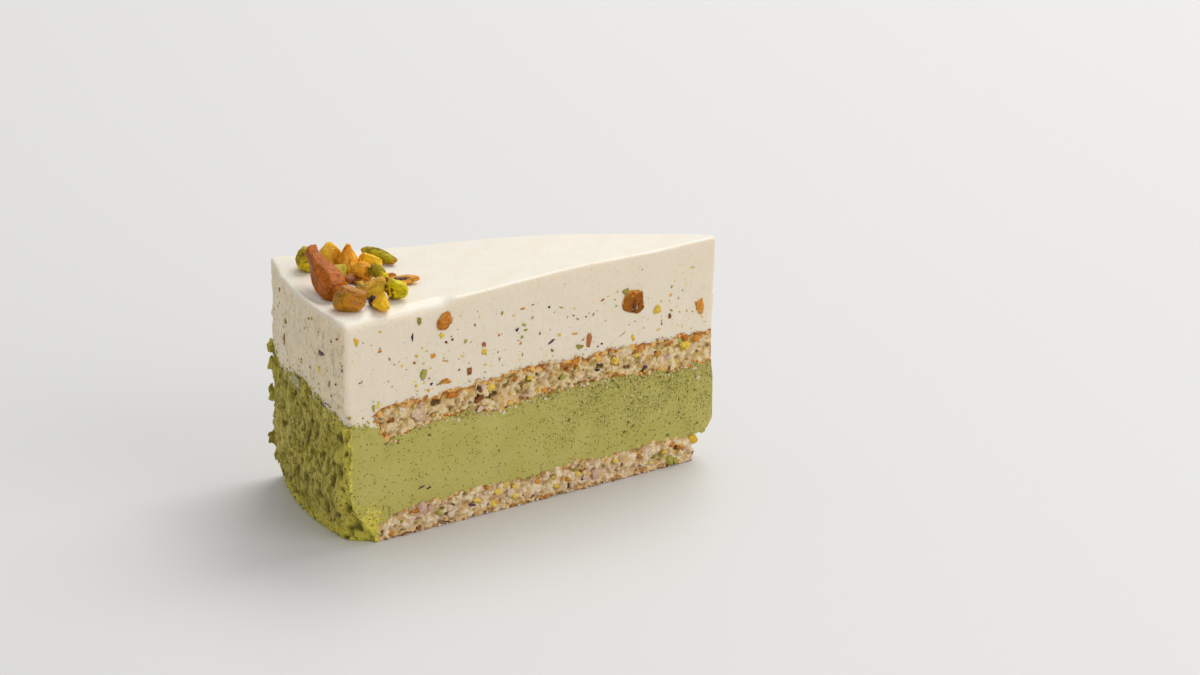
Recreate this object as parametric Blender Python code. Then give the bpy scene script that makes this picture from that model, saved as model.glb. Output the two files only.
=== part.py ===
"""A slice of pistachio cake: two nut sponges, green and white mousse, and pistachio pieces on top."""

import math

import bmesh
import bpy
from mathutils import Euler
from mathutils import Vector
from mathutils import noise

# Whole slice, in metres and radians
CAKE_RADIUS = 0.1200
WEDGE = math.radians(26.75)
HALF = WEDGE / 2
AXIS_X = 0.0623
TOP = 0.0604
GAP = 0.0003
SEAM_GAP = 0.0004

# The back cut bows outwards, most of all a third of the way out
BOW = 0.0056

# Levels of the layers at the cut: distance from the cake's axis and height, in millimetres
BASE_TOP = (
    (4, 7.5),
    (12, 7.5),
    (22, 8.2),
    (35, 7.6),
    (50, 8.3),
    (64, 7.6),
    (78, 8.2),
    (92, 7.8),
    (100, 7.9),
    (104, 7.4),
    (107.6, 5.7),
    (111, 4.3),
)
MIDDLE_BOTTOM = (
    (4, 26.7),
    (14, 26.8),
    (26, 27.3),
    (36, 28.3),
    (46, 28.7),
    (57, 28.9),
    (66, 27.9),
    (73, 27.0),
    (83, 28.9),
    (94, 28.5),
    (100, 27.7),
    (104, 27.2),
    (107.8, 25.9),
    (112, 25.0),
)
MIDDLE_TOP = (
    (4, 35.9),
    (14, 36.0),
    (32, 36.6),
    (42, 37.1),
    (53, 36.9),
    (63, 37.8),
    (74, 37.1),
    (87, 36.6),
    (96, 35.8),
    (104, 36.4),
    (109, 36.1),
    (112, 34.6),
    (114, 34.4),
)
# Where green meets white on the outer side: place across the slice and height
COLOUR_LINE = (
    (-1, 32.0),
    (-0.85, 32.8),
    (-0.71, 33.7),
    (-0.54, 34.6),
    (-0.35, 36.0),
    (-0.14, 37.6),
    (0.1, 36.9),
    (0.3, 35.8),
    (0.6, 34.3),
    (0.78, 34.6),
    (0.9, 35.3),
    (1, 35.9),
)
INNER_LINE = 0.0306

BASE_TIP = 0.0115
BASE_END = 0.1102
MIDDLE_TIP = 0.0060
MIDDLE_END_LOW = 0.1078
MIDDLE_END_HIGH = 0.1120
GREEN_RADIUS = 0.1186
EDGE_ROUND = 0.0008
OUTER_EDGE_ROUND = 0.0024

# Steps of the section along the radius
TIP_SHARES = (0.0, 0.10, 0.26, 0.48, 0.74)
MAIN_FIRST = 0.014
MAIN_STEP = 0.002
MAIN_STEPS = 45
MAIN_START = len(TIP_SHARES)
MAIN_LAST = MAIN_START + MAIN_STEPS
# Steps across the slice, from the front cut to the back cut
EDGE_STEPS = (-1.0, -0.965, -0.91)
ACROSS = EDGE_STEPS + tuple(-0.91 + 1.82 * n / 24 for n in range(1, 24)) + (0.91, 0.965, 1.0)
ACROSS_SPONGE = (-1.0, -0.78, -0.3, 0.3, 0.78, 1.0)
KEPT_ON_TOP = (0, 1, 2, 4, 9, 14, 19, 24, 26, 27, 28)
KEPT_INSIDE = (0, 4, 9, 14, 19, 24, 28)

slice_parts = bpy.data.collections.new("pistachio_cake")
cutters = bpy.data.collections.new("cutters")


def clear():
    for thing in list(bpy.data.objects):
        bpy.data.objects.remove(thing, do_unlink=True)
    bpy.context.scene.collection.children.link(slice_parts)
    bpy.context.scene.collection.children.link(cutters)


def mix(a, b, share):
    return a + (b - a) * share


def step(a, b, x):
    share = min(1.0, max(0.0, (x - a) / (b - a)))
    return share * share * (3 - 2 * share)


def along(points, x):
    """Height of a smooth line through the points at x."""
    if x <= points[0][0]:
        return points[0][1]
    if x >= points[-1][0]:
        return points[-1][1]
    n = next(i for i in range(len(points) - 1) if x <= points[i + 1][0])
    x0, y0 = points[n]
    x1, y1 = points[n + 1]
    xa, ya = points[max(0, n - 1)]
    xb, yb = points[min(len(points) - 1, n + 2)]
    slope0 = (y1 - ya) / (x1 - xa)
    slope1 = (yb - y0) / (xb - x0)
    s = (x - x0) / (x1 - x0)
    width = x1 - x0
    a = (2 * s**3 - 3 * s**2 + 1) * y0 + (s**3 - 2 * s**2 + s) * width * slope0
    b = (3 * s**2 - 2 * s**3) * y1 + (s**3 - s**2) * width * slope1
    return a + b


def level(points, r):
    return along(points, r * 1000) / 1000


def wobble(a, b, c, size):
    """Smooth uneven value, about -1 to 1, for a feature size."""
    return noise.noise(Vector((a / size, b / size, c))) * 1.6


def fan(r, t, z):
    """Point of the slice from its distance to the axis, its place across from -1 to 1, and its height."""
    angle = t * HALF
    x = AXIS_X - r * math.cos(angle)
    y = r * math.sin(angle)
    share = max(0.0, (r - 0.0047) / (CAKE_RADIUS - 0.0047))
    bow = BOW * math.sin(math.pi * min(1.0, share) ** 0.62) * max(0.0, t) ** 2
    return Vector((x + bow * math.sin(HALF), y + bow * math.cos(HALF), z))


def cut_side(t, lift):
    """Step off a cut face: outwards where lift is positive."""
    side = -1 if t < 0 else 1
    return Vector((math.sin(HALF), side * math.cos(HALF), 0)) * lift


def radius_at(column, tip, ends):
    """Distance of a column to the axis: close steps at the tip, even ones next, then the end's own."""
    if column < MAIN_START:
        return mix(tip, MAIN_FIRST, TIP_SHARES[column])
    if column <= MAIN_LAST:
        return MAIN_FIRST + (column - MAIN_START) * MAIN_STEP
    return ends[column - MAIN_LAST - 1]


def middle_end(z):
    share = (z - 0.0259) / (0.0346 - 0.0259)
    return mix(MIDDLE_END_LOW, MIDDLE_END_HIGH, share)


def colour_line(r, t):
    """Height where green gives way to white in the outer band."""
    outer = along(COLOUR_LINE, t) / 1000
    outer += 0.0004 * wobble(t * 0.028, 0.0, 3.3, 0.0035)
    share = min(1.0, max(0.0, (r - 0.1105) / (GREEN_RADIUS - 0.1105)))
    return mix(INNER_LINE, outer, share)


def top_height(r, t):
    """The top swells over its middle and is pressed down along the front edge near the outer end."""
    mm = r * 1000
    swell = 0.9 * math.exp(-(((mm - 50) / 26) ** 2)) + 0.5 * math.exp(-((mm / 14) ** 2))
    pressed = 1.1 * step(85.5, 90, mm) * step(-0.80, -1.0, t)
    return TOP + (swell - pressed) / 1000


def finish(name, mesh, colour, roughness):
    bmesh.ops.recalc_face_normals(mesh, faces=mesh.faces[:])
    if mesh.calc_volume(signed=True) < 0:
        bmesh.ops.reverse_faces(mesh, faces=mesh.faces[:])
    bmesh.ops.triangulate(mesh, faces=mesh.faces[:], quad_method="SHORT_EDGE", ngon_method="EAR_CLIP")
    data = bpy.data.meshes.new(name)
    mesh.to_mesh(data)
    mesh.free()
    thing = bpy.data.objects.new(name, data)
    slice_parts.objects.link(thing)
    coat = bpy.data.materials.new(name)
    coat.use_nodes = True
    shader = coat.node_tree.nodes["Principled BSDF"]
    shader.inputs["Base Color"].default_value = (*colour, 1)
    shader.inputs["Roughness"].default_value = roughness
    shader.inputs["Metallic"].default_value = 0
    data.materials.append(coat)
    return thing


def layer(columns, rows, across, keep, place, kept=None):
    """A section of cells drawn out across the slice; place bends it into the wedge."""
    mesh = bmesh.new()
    steps = len(across) - 1
    bmesh.ops.create_grid(mesh, x_segments=columns, y_segments=rows, size=0.5)

    def numbers(point):
        column = round((point.co.x + 0.5) * columns)
        row = round((point.co.y + 0.5) * rows)
        return column, row, round(point.co.z * steps)

    gone = []
    for face in mesh.faces:
        column = min(numbers(corner)[0] for corner in face.verts)
        row = min(numbers(corner)[1] for corner in face.verts)
        if not keep(column, row):
            gone.append(face)
    bmesh.ops.delete(mesh, geom=gone, context="FACES")
    drawn = bmesh.ops.extrude_face_region(mesh, geom=mesh.faces[:])
    for item in drawn["geom"]:
        if isinstance(item, bmesh.types.BMVert):
            item.co.z += 1
    long_edges = [edge for edge in mesh.edges if abs(edge.verts[0].co.z - edge.verts[1].co.z) > 0.5]
    bmesh.ops.subdivide_edges(mesh, edges=long_edges, cuts=steps - 1, use_grid_fill=True)
    # Hidden and plain faces keep only some of the steps across
    if kept is not None:
        merge = []
        for edge in mesh.edges:
            a = numbers(edge.verts[0])
            b = numbers(edge.verts[1])
            if a[2] == b[2] and a[2] not in kept(a) and b[2] not in kept(b):
                merge.append(edge)
        bmesh.ops.dissolve_edges(mesh, edges=merge, use_verts=True, use_face_split=False)
    for point in mesh.verts:
        column, row, across_step = numbers(point)
        point.co = place(column, row, across[across_step])
    return mesh


# Green mousse

GREEN_LEG_ROWS = 4
GREEN_MAIN_ROWS = 5
GREEN_LIP_ROWS = 4
GREEN_END = MAIN_LAST + 4
FLAKES = (
    (0.97, 0.0362, 0.0016, 0.0022),
    (0.93, 0.0318, 0.0013, 0.0020),
    (0.99, 0.0235, 0.0011, 0.0016),
    (0.95, 0.0118, 0.0014, 0.0024),
    (0.70, 0.0330, 0.0009, 0.0018),
    (-0.20, 0.0355, 0.0008, 0.0020),
)


def green_tip(z):
    """The tip of the green mousse draws in above and is rounded below."""
    mm = z * 1000
    return (5.35 + 0.5 * step(22, 27, mm) + 2.6 * step(11.5, 6.5, mm)) / 1000


def green_side(t, z):
    """Outer side of the green mousse: rounded at the foot, most at the front corner, and torn."""
    mm = z * 1000
    foot = 2.2 * max(0.0, (12 - mm) / 12) ** 2
    corner = 6.4 * max(0.0, (13.5 - mm) / 13.5) ** 1.2 * math.exp(-(((t + 1) / 0.13) ** 2))
    other = 0.8 * max(0.0, (13.5 - mm) / 13.5) ** 1.3 * math.exp(-(((t - 1) / 0.12) ** 2))
    arc = t * 0.028
    torn = 0.45 * wobble(arc, z * 0.35, 7.1, 0.0024) + 0.40 * wobble(arc, z, 2.7, 0.0036)
    torn += 0.25 * wobble(arc, z, 9.4, 0.0017)
    torn *= step(0.0, 3.0, mm) * 0.6 + 0.4
    side = GREEN_RADIUS * 1000 + 1.2 * step(-0.9, 0.5, t) - foot - corner - other + torn
    for place_t, place_z, lift, size in FLAKES:
        away = ((arc - place_t * 0.028) / size) ** 2 + ((z - place_z) / (size * 1.3)) ** 2
        side += 1000 * lift * math.exp(-away)
    return max(side, 111.5) / 1000


def green_keep(column, row):
    if row < GREEN_LEG_ROWS:
        return column >= MAIN_LAST + 2
    if row < GREEN_LEG_ROWS + GREEN_MAIN_ROWS:
        return True
    return column >= MAIN_LAST + 1


def green_place(column, row, t):
    leg = GREEN_LEG_ROWS
    lip = GREEN_LEG_ROWS + GREEN_MAIN_ROWS
    rows = lip + GREEN_LIP_ROWS
    share = (row - leg) / GREEN_MAIN_ROWS
    if column <= MAIN_LAST:
        r = radius_at(column, 0.0054, ())
        z = mix(level(BASE_TOP, r) + GAP, level(MIDDLE_BOTTOM, r) - GAP, share)
        if column < MAIN_START:
            r = mix(green_tip(z), MAIN_FIRST, TIP_SHARES[column])
    elif column == MAIN_LAST + 1:
        if row <= lip:
            r = mix(0.1076, MIDDLE_END_LOW + 0.0006, max(0.0, share))
            z = mix(level(BASE_TOP, r) + GAP, 0.0254, share)
        else:
            z = mix(0.0254, INNER_LINE, (row - lip) / GREEN_LIP_ROWS)
            r = middle_end(z) + 0.0006
    else:
        foot_top = level(BASE_TOP, BASE_END) + GAP
        inner = BASE_END + GAP
        if row <= leg:
            z_in = mix(0.0, foot_top, row / leg)
        elif row <= lip:
            z_in = mix(foot_top, 0.0262, share)
        else:
            z_in = mix(0.0262, colour_line(0.1120, t), (row - lip) / GREEN_LIP_ROWS)
            inner = mix(inner, 0.1120, (row - lip) / GREEN_LIP_ROWS)
        z_out = colour_line(GREEN_RADIUS, t) * row / rows
        outer = green_side(t, z_out)
        bend = (0.0, 0.5, 1.0)[column - MAIN_LAST - 2]
        r = mix(inner, outer, bend)
        z = mix(z_in, z_out, bend)
        if row == rows:
            z = colour_line(r, t)
    place = fan(r, t, z)
    if abs(t) == 1:
        size = min(1.0, r / 0.03)
        lift = 0.00010 * wobble(r, z, 4.0 + t, 0.009)
        lift += 0.00035 * size * step(0.0235, 0.027, z) * wobble(r, z, 8.0 + t, 0.0028)
        place += cut_side(t, lift * size)
    return place


def green_kept(number):
    column, row, across_step = number
    lip = GREEN_LEG_ROWS + GREEN_MAIN_ROWS
    inner_wall = column <= MAIN_LAST + 2 and row <= lip
    slanted_wall = column == MAIN_LAST + 1 and row <= lip + GREEN_LIP_ROWS
    return KEPT_INSIDE if inner_wall or slanted_wall else range(len(ACROSS))


# White mousse

WHITE_LEG_ROWS = 3
WHITE_SHARES = (0.0, 0.30, 0.62, 0.89, 0.965, 1.0)
WHITE_END = MAIN_LAST + 5


def white_tip(z):
    return mix(0.0060, 0.0047, step(0.034, 0.056, z))


def white_keep(column, row):
    if row < WHITE_LEG_ROWS:
        return column >= MAIN_LAST + 1
    return True


def white_side(t, z):
    arc = t * 0.028
    smear = 0.16 * wobble(arc, z * 0.3, 5.5, 0.004) + 0.12 * wobble(arc, z, 1.5, 0.005)
    return (CAKE_RADIUS * 1000 + smear) / 1000


def dent(r, t):
    """Shallow groove pressed into the top by the outer edge."""
    along_edge = (t * HALF * r + 0.0045) / 0.0060
    from_edge = (CAKE_RADIUS - 0.0034 - r) / 0.0012
    return 0.0007 * math.exp(-(along_edge**2) - from_edge**2)


def rounded(r, t, z, top, tip, outer):
    """Draws the edges of the white block in to a small radius."""
    size = mix(EDGE_ROUND, OUTER_EDGE_ROUND, step(0.0855, 0.090, r) * step(-0.80, -0.92, t))
    half = r * HALF
    away = [top - z, min(1 + t, 1 - t) * half, min(outer - r, r - tip)]
    inside = [min(0.0, gap - size) for gap in away]
    length = math.sqrt(sum(part * part for part in inside))
    if sum(part < 0 for part in inside) < 2 or length <= size:
        return r, t, z
    moved = [part * (size / length) - part if part < 0 else 0.0 for part in inside]
    z -= moved[0]
    t += moved[1] / half * (1 if t < 0 else -1)
    r += moved[2] * (-1 if outer - r < r - tip else 1)
    return r, t, z


def white_place(column, row, t):
    leg = WHITE_LEG_ROWS
    share = WHITE_SHARES[max(0, row - leg)]
    r = radius_at(column, 0.0052, (0.1124, 0.1155, 0.1176, 0.1192, CAKE_RADIUS))
    floor = level(MIDDLE_TOP, min(r, 0.1124)) + GAP
    top = top_height(r, t) - dent(r, t)
    if row < leg:
        down = 1 - row / leg
        if column == MAIN_LAST + 1:
            z = mix(floor, INNER_LINE + SEAM_GAP, down)
            r = middle_end(z) + 0.00045
        else:
            z = mix(floor, colour_line(r, t) + SEAM_GAP, down)
    else:
        z = mix(floor, top, share)
    if column == WHITE_END:
        r = white_side(t, z)
    if column < MAIN_START:
        r = mix(white_tip(z), MAIN_FIRST, TIP_SHARES[column])
    side = t
    if z > 0.045 or column > MAIN_LAST + 3:
        r, t, z = rounded(r, t, z, top, white_tip(z), white_side(t, z))
    if row < leg and column > MAIN_LAST + 1:
        z = mix(floor, colour_line(r, t) + SEAM_GAP, 1 - row / leg)
    place = fan(r, t, z)
    if abs(side) == 1:
        place += cut_side(side, 0.00010 * min(1.0, r / 0.03) * wobble(r, z, 6.0 + side, 0.010))
    return place


def white_kept(number):
    column, row, across_step = number
    if column <= MAIN_LAST + 1 and row <= WHITE_LEG_ROWS:
        return KEPT_INSIDE
    return KEPT_ON_TOP if column <= MAIN_LAST + 1 else range(len(ACROSS))


# Sponges

SPONGE_ROWS = 4


def crags(r, z, seed):
    """Crumb torn by the knife: coarse lumps with finer ones on them."""
    coarse = wobble(r, z, seed, 0.0052)
    fine = wobble(r, z, seed + 11.0, 0.0024)
    return 0.00026 * coarse + 0.00024 * fine


def everything(column, row):
    return True


def base_place(column, row, t):
    r = radius_at(column, BASE_TIP, (0.1076, BASE_END))
    share = row / SPONGE_ROWS
    z = level(BASE_TOP, r) * share
    if column == 0:
        r += 0.0005 * wobble(z, t * 0.003, 2.2, 0.002)
    place = fan(r, t, z)
    if abs(t) == 1:
        size = min(1.0, r / 0.030)
        place += cut_side(t, crags(r, z, 20.0 + t) * size - 0.0002 * size)
        if row == 0:
            place.z += max(0.0, 0.0006 * wobble(r, 0.0, 31.0 + t, 0.0040) + 0.0002)
    return place


def middle_place(column, row, t):
    share = row / SPONGE_ROWS
    if column <= MAIN_LAST:
        r = radius_at(column, MIDDLE_TIP, ())
        z = mix(level(MIDDLE_BOTTOM, r), level(MIDDLE_TOP, r), share)
    else:
        z = mix(0.0259, 0.0346, share)
        r = middle_end(z) - 0.0006 * math.sin(math.pi * share)
    if column == 0:
        r += 0.0004 * wobble(z, t * 0.003, 5.2, 0.002)
    place = fan(r, t, z)
    if abs(t) == 1:
        size = min(1.0, r / 0.030)
        place += cut_side(t, crags(r, z, 40.0 + t) * size)
    return place


# Pistachio pieces


def nut(name, size, centre, turn, colour, seed, squareness=0.8, taper=0.0, cuts=(), rough=0.07, detail=2):
    """A broken kernel: a rounded lump with flat broken faces."""
    mesh = bmesh.new()
    bmesh.ops.create_icosphere(mesh, subdivisions=detail, radius=1.0)
    for point in mesh.verts:
        shape = [math.copysign(abs(part) ** squareness, part) for part in point.co]
        lump = 1 + rough * wobble(point.co.x + seed, point.co.y, point.co.z + seed * 3.7, 0.8)
        narrow = 1 - taper * step(-0.75, 0.95, shape[0])
        point.co = Vector((shape[0], shape[1] * narrow, shape[2] * narrow)) * lump
    for direction, distance in cuts:
        normal = Vector(direction).normalized()
        whole = mesh.verts[:] + mesh.edges[:] + mesh.faces[:]
        cut = bmesh.ops.bisect_plane(
            mesh,
            geom=whole,
            dist=0.001,
            plane_co=normal * distance,
            plane_no=normal,
            clear_outer=True,
        )
        rim = [item for item in cut["geom_cut"] if isinstance(item, bmesh.types.BMEdge)]
        bmesh.ops.holes_fill(mesh, edges=rim, sides=0)
    bmesh.ops.remove_doubles(mesh, verts=mesh.verts[:], dist=0.02)
    bmesh.ops.scale(mesh, verts=mesh.verts[:], vec=Vector(size) / 2)
    thing = finish(name, mesh, colour, 0.5)
    thing.location = centre
    thing.rotation_euler = Euler([math.radians(angle) for angle in turn], "XYZ")
    return thing


YELLOW = (0.52, 0.33, 0.05)
ORANGE = (0.44, 0.20, 0.045)
BROWN = (0.27, 0.11, 0.045)
GREEN = (0.25, 0.27, 0.025)
OLIVE = (0.22, 0.17, 0.035)


def on_top(x, y, above):
    return (x / 1000, y / 1000, TOP + above / 1000)


def mm(*sizes):
    return tuple(size / 1000 for size in sizes)


def build():
    clear()
    base = layer(MAIN_LAST + 2, SPONGE_ROWS, ACROSS_SPONGE, everything, base_place)
    finish("base_sponge", base, (0.50, 0.36, 0.20), 0.85)
    middle = layer(MAIN_LAST + 1, SPONGE_ROWS, ACROSS_SPONGE, everything, middle_place)
    finish("middle_sponge", middle, (0.41, 0.27, 0.12), 0.85)
    rows = GREEN_LEG_ROWS + GREEN_MAIN_ROWS + GREEN_LIP_ROWS
    green = layer(GREEN_END, rows, ACROSS, green_keep, green_place, green_kept)
    finish("pistachio_mousse", green, (0.38, 0.33, 0.09), 0.6)
    rows = WHITE_LEG_ROWS + len(WHITE_SHARES) - 1
    white = layer(WHITE_END, rows, ACROSS, white_keep, white_place, white_kept)
    white_block = finish("white_mousse", white, (0.80, 0.72, 0.58), 0.45)

    # The largest nut in the white mousse is cut through by the knife and lies flush with the cut
    nut_r = 0.0309
    nut_z = 0.0481
    centre = fan(nut_r, -1, nut_z) + cut_side(-1, -0.0014)
    kernel = nut(
        "cut_kernel",
        mm(8.0, 5.0, 6.9),
        centre,
        (0, 12, math.degrees(HALF)),
        ORANGE,
        3,
        squareness=0.9,
        taper=0.1,
        cuts=(((0, -1, 0), 0.66),),
        rough=0.05,
    )
    mesh = bmesh.new()
    bmesh.ops.create_icosphere(mesh, subdivisions=2, radius=1.0)
    bmesh.ops.scale(mesh, verts=mesh.verts[:], vec=Vector(mm(4.6, 3.1, 4.05)))
    pocket_data = bpy.data.meshes.new("pocket")
    mesh.to_mesh(pocket_data)
    mesh.free()
    pocket = bpy.data.objects.new("pocket", pocket_data)
    pocket.location = centre
    pocket.rotation_euler = kernel.rotation_euler
    pocket.hide_render = True
    pocket.display_type = "WIRE"
    cutters.objects.link(pocket)
    cut = white_block.modifiers.new("pocket", "BOOLEAN")
    cut.operation = "DIFFERENCE"
    cut.object = pocket
    cut.solver = "EXACT"

    # The heap on top near the outer end
    nut(
        "nut_back_green",
        mm(5.1, 6.7, 6.1),
        on_top(-49.5, 14.2, 3.39),
        (8, -6, -30),
        GREEN,
        11,
        squareness=0.7,
        taper=0.1,
        cuts=(((0.7, 0.4, 0.5), 0.82),),
    )
    nut(
        "nut_long",
        mm(19.6, 6.2, 5.9),
        on_top(-51.4, -2.7, 5.15),
        (10, -23, 94),
        BROWN,
        12,
        squareness=0.92,
        taper=0.62,
        rough=0.05,
        detail=3,
    )
    nut(
        "nut_yellow_round",
        mm(5.4, 5.5, 6.3),
        on_top(-42.6, 15.2, 3.24),
        (0, 8, -20),
        YELLOW,
        13,
        squareness=0.8,
        taper=0.0,
        cuts=(((0.2, -0.3, -1), 0.75),),
    )
    nut(
        "nut_pyramid",
        mm(8.5, 8.4, 6.4),
        on_top(-40.0, 9.7, 3.75),
        (0, -90, -20),
        ORANGE,
        14,
        squareness=0.85,
        taper=0.72,
        cuts=(((-1, 0, 0), 0.8), ((0.4, 0.9, -0.3), 0.62)),
    )
    nut(
        "nut_slab",
        mm(5.3, 2.5, 4.0),
        on_top(-34.2, 8.7, 2.5),
        (6, 10, -24),
        YELLOW,
        15,
        squareness=0.65,
        taper=0.0,
        cuts=(((0.3, 0.2, 1), 0.7),),
    )
    nut(
        "nut_chunk",
        mm(4.6, 4.0, 4.4),
        on_top(-38.7, 1.8, 2.53),
        (0, -8, -32),
        ORANGE,
        16,
        squareness=0.7,
        taper=0.0,
        cuts=(((-0.4, -0.5, 0.8), 0.8),),
    )
    nut(
        "nut_long_green",
        mm(11.0, 3.6, 3.4),
        on_top(-30.3, 12.3, 2.1),
        (20, 9, -48),
        GREEN,
        17,
        squareness=0.9,
        taper=0.35,
        cuts=(((0, -1, -0.4), 0.6),),
    )
    nut(
        "nut_green_wedge",
        mm(5.0, 2.6, 3.4),
        on_top(-35.9, -2.2, 2.9),
        (0, 38, -25),
        GREEN,
        18,
        squareness=0.8,
        taper=0.2,
        cuts=(((0.2, -0.6, -0.6), 0.6),),
    )
    nut(
        "nut_olive",
        mm(6.0, 4.1, 4.1),
        on_top(-40.5, -12.3, 2.82),
        (0, -30, -22),
        OLIVE,
        19,
        squareness=0.8,
        taper=0.1,
        cuts=(((0.3, -0.9, 0.3), 0.75),),
    )
    nut(
        "nut_bright_green",
        mm(4.9, 4.2, 5.2),
        on_top(-36.0, -15.4, 2.72),
        (12, 24, -20),
        GREEN,
        20,
        squareness=0.7,
        taper=0.15,
        cuts=(((-0.3, -1, 0.2), 0.7), ((0.6, 0, -1), 0.8)),
    )
    nut(
        "nut_front_block",
        mm(7.8, 6.5, 5.9),
        on_top(-49.6, -18.8, 3.29),
        (-6, 6, -18),
        BROWN,
        21,
        squareness=0.62,
        taper=0.05,
        cuts=(((-0.2, -1, 0.35), 0.78), ((0.3, 0, 1), 0.88)),
    )
    nut(
        "nut_yellow_chip",
        mm(4.9, 4.8, 5.0),
        on_top(-41.9, -21.2, 2.5),
        (0, -70, -15),
        YELLOW,
        22,
        squareness=0.7,
        taper=0.6,
        cuts=(((-1, 0, 0.2), 0.7),),
    )
    nut(
        "nut_flake",
        mm(8.0, 4.7, 1.9),
        on_top(-29.9, -4.8, 1.36),
        (4, -3, -12),
        ORANGE,
        23,
        squareness=0.7,
        taper=0.2,
        cuts=(((0.2, 0.9, 0), 0.6),),
    )
    nut(
        "nut_small_green",
        mm(2.5, 2.8, 4.0),
        on_top(-44.3, 3.7, 2.42),
        (0, 10, 20),
        OLIVE,
        24,
        squareness=0.7,
    )
    nut(
        "nut_red_bit",
        mm(2.8, 2.4, 1.5),
        on_top(-42.5, 1.1, 1.16),
        (0, 0, 50),
        BROWN,
        25,
        squareness=0.8,
    )
    nut(
        "nut_yellow_bit",
        mm(2.1, 2.0, 1.3),
        on_top(-41.9, -5.7, 1.05),
        (0, 0, 15),
        YELLOW,
        26,
        squareness=0.8,
        taper=0.0,
        rough=0.07,
        detail=1,
    )
    nut(
        "nut_purple_bit",
        mm(1.5, 1.6, 2.2),
        on_top(-42.8, -17.8, 1.32),
        (0, 20, 10),
        (0.03, 0.012, 0.014),
        27,
        squareness=0.8,
        taper=0.2,
        rough=0.07,
        detail=1,
    )


build()
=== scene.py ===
"""The looks of a slice of pistachio cake: crumb, pores, specks, broken nuts, and a plain pale studio."""

import math

import bmesh
import bpy
import numpy as np
from mathutils import Euler
from mathutils import Matrix
from mathutils import Vector
from mathutils import noise


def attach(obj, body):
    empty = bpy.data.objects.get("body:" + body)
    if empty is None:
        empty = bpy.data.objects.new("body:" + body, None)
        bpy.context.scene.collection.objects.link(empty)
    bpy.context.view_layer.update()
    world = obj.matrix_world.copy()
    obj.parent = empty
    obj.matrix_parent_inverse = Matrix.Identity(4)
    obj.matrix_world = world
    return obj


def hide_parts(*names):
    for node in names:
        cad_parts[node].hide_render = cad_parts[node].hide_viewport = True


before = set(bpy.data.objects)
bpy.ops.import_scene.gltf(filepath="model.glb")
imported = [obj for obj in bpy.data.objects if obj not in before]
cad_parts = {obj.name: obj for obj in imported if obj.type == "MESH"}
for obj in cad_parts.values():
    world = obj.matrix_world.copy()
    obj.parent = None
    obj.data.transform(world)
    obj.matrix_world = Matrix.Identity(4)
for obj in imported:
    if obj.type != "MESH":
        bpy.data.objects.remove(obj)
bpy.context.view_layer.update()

MM = 0.001

# Whole slice, in metres and radians
CAKE_RADIUS = 0.1200
HALF = math.radians(26.75) / 2
AXIS_X = 0.0623
TOP = 0.0604
BOW = 0.0056
TIP_RADIUS = 0.0047
# Half the length of the outer arc
ARC = 0.028
# Neighbouring layers reach into each other, so that no slit shows between them
OVERLAP = 0.0004

# Levels of the layers at the cut: distance from the cake's axis and height, in millimetres
BASE_TOP = (
    (4, 7.5), (12, 7.5), (22, 8.2), (35, 7.6), (50, 8.3), (64, 7.6), (78, 8.2), (92, 7.8),
    (100, 7.9), (104, 7.4), (107.6, 5.7), (111, 4.3),
)
MIDDLE_BOTTOM = (
    (4, 26.7), (14, 26.8), (26, 27.3), (36, 28.3), (46, 28.7), (57, 28.9), (66, 27.9), (73, 27.0),
    (83, 28.9), (94, 28.5), (100, 27.7), (104, 27.2), (107.8, 25.9), (112, 25.0),
)
MIDDLE_TOP = (
    (4, 35.9), (14, 36.0), (32, 36.6), (42, 37.1), (53, 36.9), (63, 37.8), (74, 37.1), (87, 36.6),
    (96, 35.8), (104, 36.4), (109, 36.1), (112, 34.6), (114, 34.4),
)
# Where green meets white on the outer side: place across the slice and height
COLOUR_LINE = (
    (-1, 32.0), (-0.85, 32.8), (-0.71, 33.7), (-0.54, 34.6), (-0.35, 36.0), (-0.14, 37.6),
    (0.1, 36.9), (0.3, 35.8), (0.6, 34.3), (0.78, 34.6), (0.9, 35.3), (1, 35.9),
)
INNER_LINE = 0.0306
BASE_TIP = 0.0115
BASE_END = 0.1102
MIDDLE_TIP = 0.0060
# Outer end of the middle sponge: distance to the axis and height, at its foot and at its top
MIDDLE_END_LOW = 0.1078
MIDDLE_END_HIGH = 0.1120
MIDDLE_END_FLOOR = 0.0259
MIDDLE_END_TOP = 0.0346
# Cells of the cuts are closer together up to the first distance to the axis, and again past the second
TIP_END = 0.014
BAND_START = 0.104
GREEN_RADIUS = 0.1186
EDGE_ROUND = 0.0008
OUTER_EDGE_ROUND = 0.0019
# Flakes on the green outer side: place across, height, how far they stand out, and size
FLAKES = (
    (0.97, 0.0362, 0.0016, 0.0022),
    (0.93, 0.0318, 0.0013, 0.0020),
    (0.99, 0.0235, 0.0011, 0.0016),
    (0.95, 0.0118, 0.0014, 0.0024),
    (0.70, 0.0330, 0.0009, 0.0018),
    (-0.20, 0.0355, 0.0008, 0.0020),
)


# Smooth functions of arrays


def mix(a, b, share):
    return a + (b - a) * share


def step(a, b, x):
    share = np.clip((x - a) / (b - a), 0, 1)
    return share * share * (3 - 2 * share)


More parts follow.
